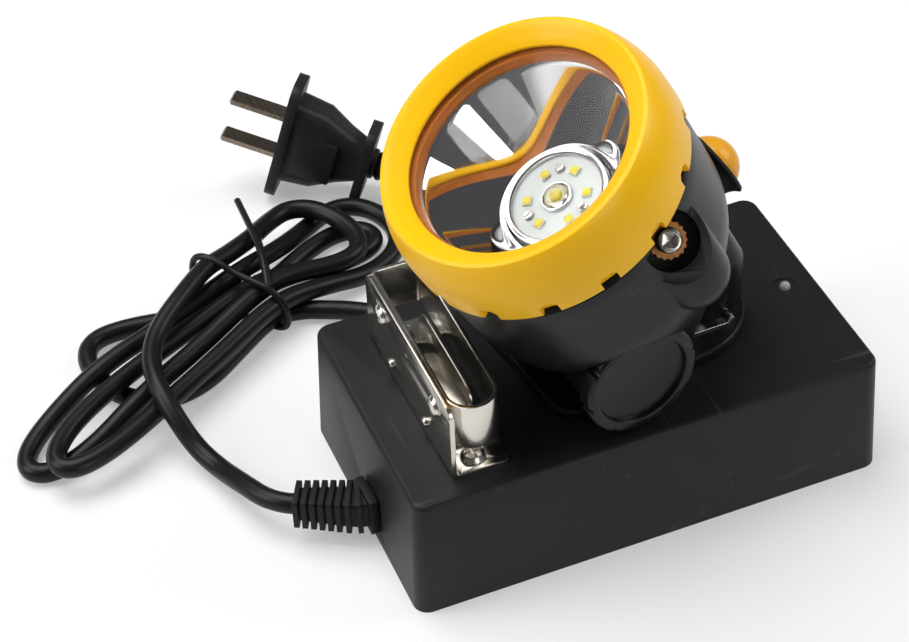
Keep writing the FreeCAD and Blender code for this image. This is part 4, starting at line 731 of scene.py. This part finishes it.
@dataclass
class MainsLead(Assembly):
    """Lead, its tied loops, the tie and the plug."""

    diameter: float = 0.0055
    boot_end: Point = (-0.082764, 0.002410, 0.010)
    boot_axis: Point = (-0.882948, 0.469472, 0.0)
    hank_centre: Point = (-0.066, 0.087, 0.0)
    hank_turn: float = 24.0
    first_run: float = 0.0060
    tail_start: Point = (8.0, -12.5, 2.9)
    tail_turn: float = -50.0
    tail_runs: Pair = (0.0055, 0.0135)
    plug_run: float = 0.012
    points_per_lobe: int = 10
    seen_length: float = 1.06
    tie_radius: float = 0.001
    tie_half: float = 0.0146
    tie_bottom: float = 0.00105
    tie_top: float = 0.0158
    plug_end: Point = (-0.009481, 0.116101, 0.009835)
    plug_axis: Point = (0.790107, -0.549152, -0.272280)
    outward: tuple[Point, ...] = (
        (-0.0928, 0.0176, 0.0080), (-0.0956, 0.0276, 0.0050), (-0.0992, 0.0360, 0.0066),
        (-0.1022, 0.0445, 0.0130), (-0.1034, 0.0530, 0.0158), (-0.1024, 0.0621, 0.0162),
        (-0.0993, 0.0694, 0.0164), (-0.0945, 0.0752, 0.0172), (-0.0888, 0.0802, 0.0180),
        (-0.0824, 0.0862, 0.0180), (-0.0768, 0.0914, 0.0174))
    homeward: tuple[Point, ...] = (
        (-0.0310, 0.0655, 0.0029), (-0.0180, 0.0592, 0.0029), (-0.0040, 0.0565, 0.0029),
        (0.0090, 0.0595, 0.0029), (0.0195, 0.0680, 0.0029), (0.0235, 0.0800, 0.0029),
        (0.0205, 0.0915, 0.0029), (0.0125, 0.1000, 0.0030))
    lobes: tuple[Lobe, ...] = (
        Lobe(37.5, 1, 9.5, -0.9, 12.2, -6.1, (1, 1, 1), 0.3, 0.8, 1.0, (6.2, 3.3)),
        Lobe(-85, -1, 5.2, -4.0, -6.1, 6.1, (1, 0, 1), 0.64, 0.88, 1.0, (3.3, 3.3)),
        Lobe(52, 1, 9.0, 4.0, 6.1, -12.9, (1, 0, 1), 0.22, 0.42, 1.0, (3.3, 1.0)),
        Lobe(-82, -1, 4.4, -7.4, -12.9, 0.0, (1, 1, 1), 0.66, 1.0),
        Lobe(44, -1, 5.4, -4.8, 0.0, 3.0, (1, 0, 0), 0.1, 0.5, 1.0, (1.0, 0.0)),
        Lobe(-50, 1, 16.5, 7.0, 3.0, -9.5, (0, 0, 0), 0.3, 0.8, 0.6, (0.0, 0.0), 0.55))

    def in_hank(self, along: float, across: float, height: float) -> Vector:
        """Point of the hank's own plan, given in millimetres, on the floor in metres."""
        turn = math.radians(self.hank_turn)
        return Vector((self.hank_centre[0] + MM * (along * math.cos(turn) - across * math.sin(turn)),
                       self.hank_centre[1] + MM * (along * math.sin(turn) + across * math.cos(turn)),
                       MM * height))

    def route(self) -> list[Vector]:
        """The lead's control points from boot to plug."""
        start, axis = Vector(self.boot_end), Vector(self.boot_axis).normalized()
        points = [start, start + axis * self.first_run]
        points += [Vector(point) for point in self.outward]
        for lobe in self.lobes:
            shares = [k / self.points_per_lobe for k in range(self.points_per_lobe)]
            points += [self.in_hank(*lobe.point(share)) for share in shares]
        points.append(self.in_hank(*self.lobes[-1].point(1.0)))
        leaving = math.radians(self.hank_turn + self.tail_turn)
        outward = Vector((math.cos(leaving), math.sin(leaving), 0.0))
        tail = self.in_hank(*self.tail_start)
        points += [tail] + [tail + outward * run for run in self.tail_runs]
        points += [Vector(point) for point in self.homeward]
        end, plug = Vector(self.plug_end), Vector(self.plug_axis).normalized()
        points += [end + plug * self.plug_run, end]
        return points

    @staticmethod
    def spline(name: str, points: Sequence[Vector], radius: float,
               closed: bool = False) -> bpy.types.Object:
        """A round wire or cord that follows points.

        Args:
            name: Name of the piece.
            points: Control points in metres.
            radius: Radius of the wire.
            closed: Whether its ends join.

        Returns:
            The curve's object.
        """
        curve = bpy.data.curves.new(name, "CURVE")
        curve.dimensions = "3D"
        curve.bevel_depth = radius
        curve.bevel_resolution = 5
        curve.use_fill_caps = True
        line = curve.splines.new("NURBS")
        line.points.add(len(points) - 1)
        for point, place in zip(line.points, points):
            point.co = (*place, 1.0)
        line.order_u = 3
        line.use_cyclic_u = closed
        line.use_endpoint_u = not closed
        line.resolution_u = 8
        item = bpy.data.objects.new(name, curve)
        bpy.context.scene.collection.objects.link(item)
        return item

    def lay_lead(self) -> bpy.types.Object:
        """The whole lead as one cord."""
        points = self.route()
        lead = self.spline("mains_lead", points, self.diameter / 2)
        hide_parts("cord_lead", "cord_hank", "cord_tail")
        return give(lead, Finishes.JACKET, Body.CHARGER)

    def twist(self) -> list[bpy.types.Object]:
        """Tie wire: a ring round the loops' waist and its two tails."""
        turn = math.radians(self.hank_turn)
        across = Vector((-math.sin(turn), math.cos(turn), 0.0))
        centre = Vector(self.hank_centre)
        along = Vector((math.cos(turn), math.sin(turn), 0.0))
        half, bottom, top = self.tie_half, self.tie_bottom, self.tie_top
        ring = []
        for v, z in ((-0.010, bottom), (0.0, bottom), (0.010, bottom), (0.0138, 0.0026), (half, 0.008),
                     (half, 0.0145), (0.0132, 0.0182), (0.0100, 0.0196), (0.0058, 0.0190), (0.0010, 0.0168),
                     (-0.0060, top), (-0.0098, 0.0150), (-0.0132, 0.0118), (-half, 0.0080),
                     (-half, 0.0050), (-0.0134, 0.0020)):
            ring.append(centre + across * v - along * (0.004 + 0.3 * v) + Vector((0.0, 0.0, z)))
        pieces = [self.spline("tie_ring", ring, self.tie_radius, closed=True)]
        knot = centre - across * 0.0090 - along * 0.0013 + Vector((0.0, 0.0, 0.0150))
        tails = (((-0.0614, 0.0865, 0.0185), (-0.0600, 0.1010, 0.0170), (-0.0587, 0.1190, 0.0140)),
                 ((-0.0616, 0.0830, 0.0165), (-0.0602, 0.0930, 0.0155), (-0.0582, 0.1037, 0.0134)))
        for index, tail in enumerate(tails):
            points = [knot] + [Vector(point) for point in tail]
            pieces.append(self.spline(f"tie_tail_{index + 1}", points, self.tie_radius))
        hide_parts("twist_tie")
        for piece in pieces:
            give(piece, Finishes.TIE, Body.CHARGER)
        return pieces

    def build(self) -> None:
        """Lays the lead, ties it and dresses the plug."""
        lead = self.lay_lead()
        ties = self.twist()
        self.refine("cord_boot", Finishes.RUBBER, "boot_rubber", Body.CHARGER, 0.0002, 40.0)
        plug = self.refine("plug_body", Finishes.PLUG, "plug_plastic", Body.CHARGER, 0.0003, 30.0)
        self.dress_nodes({"plug_blades": Finishes.BLADE})


# Charger


@dataclass
class Charger(Assembly):
    """Black box with its indicator, feet and electronics."""

    def build(self) -> None:
        """Dresses the box and what is inside it."""
        self.refine("charger_housing", Finishes.CHARGER, "charger_plastic", Body.CHARGER, 0.0003, 25.0)
        self.refine("indicator_led", Finishes.INDICATOR, "led_clear", Body.CHARGER)
        self.dress_nodes({
            "charger_base": Finishes.CHARGER, "base_screws": Finishes.SCREW, "rubber_feet": Finishes.RUBBER,
            "circuit_board": Finishes.GREEN, "transformer_core": Finishes.CORE,
            "transformer_coil": Finishes.COIL, "transformer_bobbin": Finishes.DARK,
            "capacitors": Finishes.DARK, "heat_sink": Finishes.ALLOY, "power_transistor": Finishes.DARK,
            "indicator_spacer": Finishes.DARK})


@dataclass
class Clip(Assembly):
    """Steel holder with its loop, spring leaf, rivets and foot screws."""

    def build(self) -> None:
        """Dresses the plated steel."""
        for node in ("hook_holder", "holder_loop", "leaf_foot", "holder_rivets"):
            self.refine(node, Finishes.NICKEL, "nickel_steel", Body.CHARGER, 0.0001, 30.0)
        self.refine("contact_leaf", Finishes.NICKEL, "nickel_steel", Body.LEAF, 0.0001, 30.0)
        self.refine("foot_screws", Finishes.SCREW, "steel_screws", Body.CHARGER, 0.0001, 30.0)


# Lamp


@dataclass
class LampBody(Assembly):
    """Bell, battery tube, spine cover, plate, cap, switch and charging contact."""

    def build(self) -> None:
        """Dresses the black mouldings, the switch and the contact."""
        self.refine("lamp_housing", Finishes.LAMP, "lamp_plastic", Body.LAMP, 0.0003, 28.0)
        self.refine("back_cover", Finishes.LAMP, "lamp_plastic", Body.LAMP, 0.0003, 28.0)
        self.refine("hook_plate", Finishes.LAMP, "lamp_plastic", Body.LAMP, 0.0002, 28.0)
        self.refine("hook_strip", Finishes.NICKEL, "nickel_steel", Body.LAMP, 0.0001)
        self.refine("battery_cap", Finishes.LAMP, "lamp_plastic", Body.CAP, 0.0002, 28.0)
        self.refine("switch_collar", Finishes.RUBBER, "boot_rubber", Body.LAMP, 0.0002)
        self.refine("switch_button", Finishes.BUTTON, "button_yellow", Body.BUTTON, 0.0002)
        self.refine("contact_washer", Finishes.COPPER, "copper", Body.LAMP)
        self.refine("contact_screw", Finishes.SCREW, "steel_screws", Body.LAMP, 0.0001)
        self.dress_nodes({
            "plate_screws": Finishes.SCREW, "battery_cell": Finishes.SLEEVE, "cell_contact": Finishes.BLADE,
            "cell_spring": Finishes.NICKEL, "cap_seal": Finishes.RUBBER, "switch_spring": Finishes.SCREW,
            "tact_switch": Finishes.DARK, "driver_board": Finishes.GREEN, "driver_parts": Finishes.DARK,
            "heat_spreader": Finishes.ALLOY})


@dataclass
class LampHead(Assembly):
    """Bezel, lens, reflector and the board of diodes.

    Radii and heights of the turned pieces are in millimetres, and the small diodes are in metres.
    """

    board_back: float = 61.2
    board_front: float = 62.8
    board_radius: float = 13.2
    ring_inner: float = 11.9
    ring_outer: float = 13.6
    ring_front: float = 63.6
    throat_radius: float = 14.0
    mouth_radius: float = 27.1
    flange_back: float = 79.8
    cup_front: float = 81.0
    gasket_inner: float = 27.6
    glass_back: float = 83.9
    glass_front: float = 85.5
    seat_radius: float = 31.4
    diode_pitch: float = 0.0079
    diode_start: float = 18.0
    diode_count: int = 6
    package_side: float = 0.0024
    package_height: float = 0.0008
    phosphor_radius: float = 0.00112

    def add_side_diodes(self) -> None:
        """Six small diodes: a pale package with a domed yellow phosphor in its cup."""
        for index in range(self.diode_count):
            angle = math.radians(self.diode_start + 360.0 / self.diode_count * index)
            place = (HEAD_PLACE @ Matrix.Rotation(angle, 4, "Z")
                     @ Matrix.Translation((self.diode_pitch, 0.0, MM * self.board_front)))
            deselect()
            bpy.ops.mesh.primitive_cube_add(size=1.0, location=(0.0, 0.0, self.package_height / 2))
            package = bpy.context.object
            package.scale = (self.package_side, self.package_side, self.package_height)
            bpy.ops.object.transform_apply(location=True, scale=True)

            def hollow() -> None:
                """Sinks the cup that holds the phosphor."""
                bpy.ops.mesh.select_all(action="DESELECT")
                bpy.context.tool_settings.mesh_select_mode = (False, False, True)
                bpy.ops.object.mode_set(mode="OBJECT")
                for face in bpy.context.object.data.polygons:
                    face.select = face.normal.z > 0.9
                bpy.ops.object.mode_set(mode="EDIT")
                bpy.ops.mesh.inset(thickness=0.00028)
                bpy.ops.transform.translate(value=(0.0, 0.0, -0.0002))

            edited(package, hollow)
            modify(package, "BEVEL", width=0.0001, segments=2, limit_method="ANGLE")
            soften(package)
            settle(package, place, f"diode_package_{index + 1}")
            give(package, Finishes.PACKAGE, Body.LAMP)
            deselect()
            bpy.ops.mesh.primitive_uv_sphere_add(segments=24, ring_count=12, radius=self.phosphor_radius,
                                                 location=(0.0, 0.0, 0.0006))
            phosphor = bpy.context.object
            phosphor.scale = (1.0, 1.0, 0.42)
            bpy.ops.object.transform_apply(location=True, scale=True)
            soften(phosphor)
            settle(phosphor, place, f"diode_phosphor_{index + 1}")
            give(phosphor, Finishes.PHOSPHOR, Body.LAMP)
        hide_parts("side_leds")

    def add_main_diode(self) -> None:
        """Large diode: pale base, bright collar, phosphor and clear dome."""
        floor = self.board_front
        base = [(POLE, floor), (3.35, floor), (3.35, floor + 0.45), (3.25, floor + 0.55),
                (POLE, floor + 0.55)]
        self.turn("main_base", "main_led", base, Finishes.PACKAGE, "led_phosphor", Body.LAMP)
        collar = [(3.45, floor), (4.1, floor), (4.1, floor + 0.8), (3.95, floor + 1.0), (3.6, floor + 1.0),
                  (3.45, floor + 0.8), (3.45, floor)]
        self.turn("main_collar", "", collar, Finishes.CHROME, "chrome_ring", Body.LAMP)
        glow = [(POLE, floor + 0.55), (1.25, floor + 0.55), (1.25, floor + 1.0), (1.1, floor + 1.15),
                (POLE, floor + 1.15)]
        self.turn("main_phosphor", "", glow, Finishes.PHOSPHOR, "led_phosphor", Body.LAMP)
        top = bow((3.2, floor + 0.6), (2.25, floor + 2.1), (POLE, floor + 2.8), 14)
        dome = [(POLE, floor + 0.56), (3.2, floor + 0.56)] + top
        self.turn("main_dome", "", dome, Finishes.RESIN, "clear_lens", Body.LAMP)

    def add_optics(self) -> None:
        """Glass, gasket, mirror cup, board and the ring round it. The gasket's dark orange is partly its
        own colour and partly painted shade of the bezel's yellow inner wall.
        """
        seat, back, front = self.seat_radius, self.glass_back, self.glass_front
        glass = [(POLE, back), (seat - 0.3, back), (seat, back + 0.3), (seat, front - 0.3),
                 (seat - 0.3, front), (POLE, front)]
        self.turn("front_glass", "lens", glass, Finishes.GLASS, "clear_lens", Body.LENS)
        # The gasket band is thick and dark orange, so that under the glass it shows as painted shade on the
        # bezel's inner wall.
        inner, low = self.gasket_inner, self.cup_front + 0.05
        band = [(inner, low), (seat - 0.05, low), (seat, low + 0.05), (seat, back - 0.05),
                (seat - 0.05, back), (inner + 0.2, back), (inner, back - 0.2), (inner, low)]
        self.turn("front_gasket_and_painted_shade", "lens_gasket", band, Finishes.GASKET, "gasket_orange", Body.LENS)
        throat, mouth, foot, rim = self.throat_radius, self.mouth_radius, self.board_front, self.cup_front
        inside = bow((throat, foot), (21.4, 73.0), (mouth, rim), 30)
        outside = bow((mouth + 1.2, self.flange_back), (22.6, 72.4), (throat + 1.5, foot), 16)
        flange = [(mouth, rim - 0.1), (mouth + 0.1, rim), (seat, rim), (seat, self.flange_back)]
        cup = inside[:-1] + flange + outside + [(throat, foot)]
        self.turn("mirror_cup", "reflector", cup, Finishes.MIRROR, "mirror", Body.LAMP)
        edge, under = self.board_radius, self.board_back
        board = [(POLE, under), (edge - 0.1, under), (edge, under + 0.1), (edge, foot - 0.1),
                 (edge - 0.1, foot), (POLE, foot)]
        self.turn("diode_board", "led_board", board, Finishes.RESIST, "white_board", Body.LAMP)
        inner, outer, top = self.ring_inner, self.ring_outer, self.ring_front
        crown = bow((outer, top), ((inner + outer) / 2, top + 0.6), (inner, top), 8)
        ring = [(inner, foot), (outer, foot)] + crown + [(inner, foot)]
        self.turn("bright_ring", "led_ring", ring, Finishes.CHROME, "chrome_ring", Body.LAMP)

    def build(self) -> None:
        """Builds the optics and the bezel."""
        self.refine("bezel", Finishes.BEZEL, "bezel_yellow", Body.BEZEL, 0.00035, 28.0)
        self.add_optics()
        self.refine("board_screws", Finishes.SCREW, "steel_screws", Body.LAMP)
        self.add_side_diodes()
        self.add_main_diode()


def main() -> None:
    """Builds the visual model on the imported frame."""
    logging.basicConfig(level=logging.INFO, format="%(message)s")
    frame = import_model()
    nodes = frame["nodes"]
    Studio().build()
    for group in (MainsLead(nodes), Charger(nodes), Clip(nodes), LampBody(nodes), LampHead(nodes)):
        group.build()
        LOG.info("%s built", type(group).__name__)


if __name__ == "__main__":
    main()
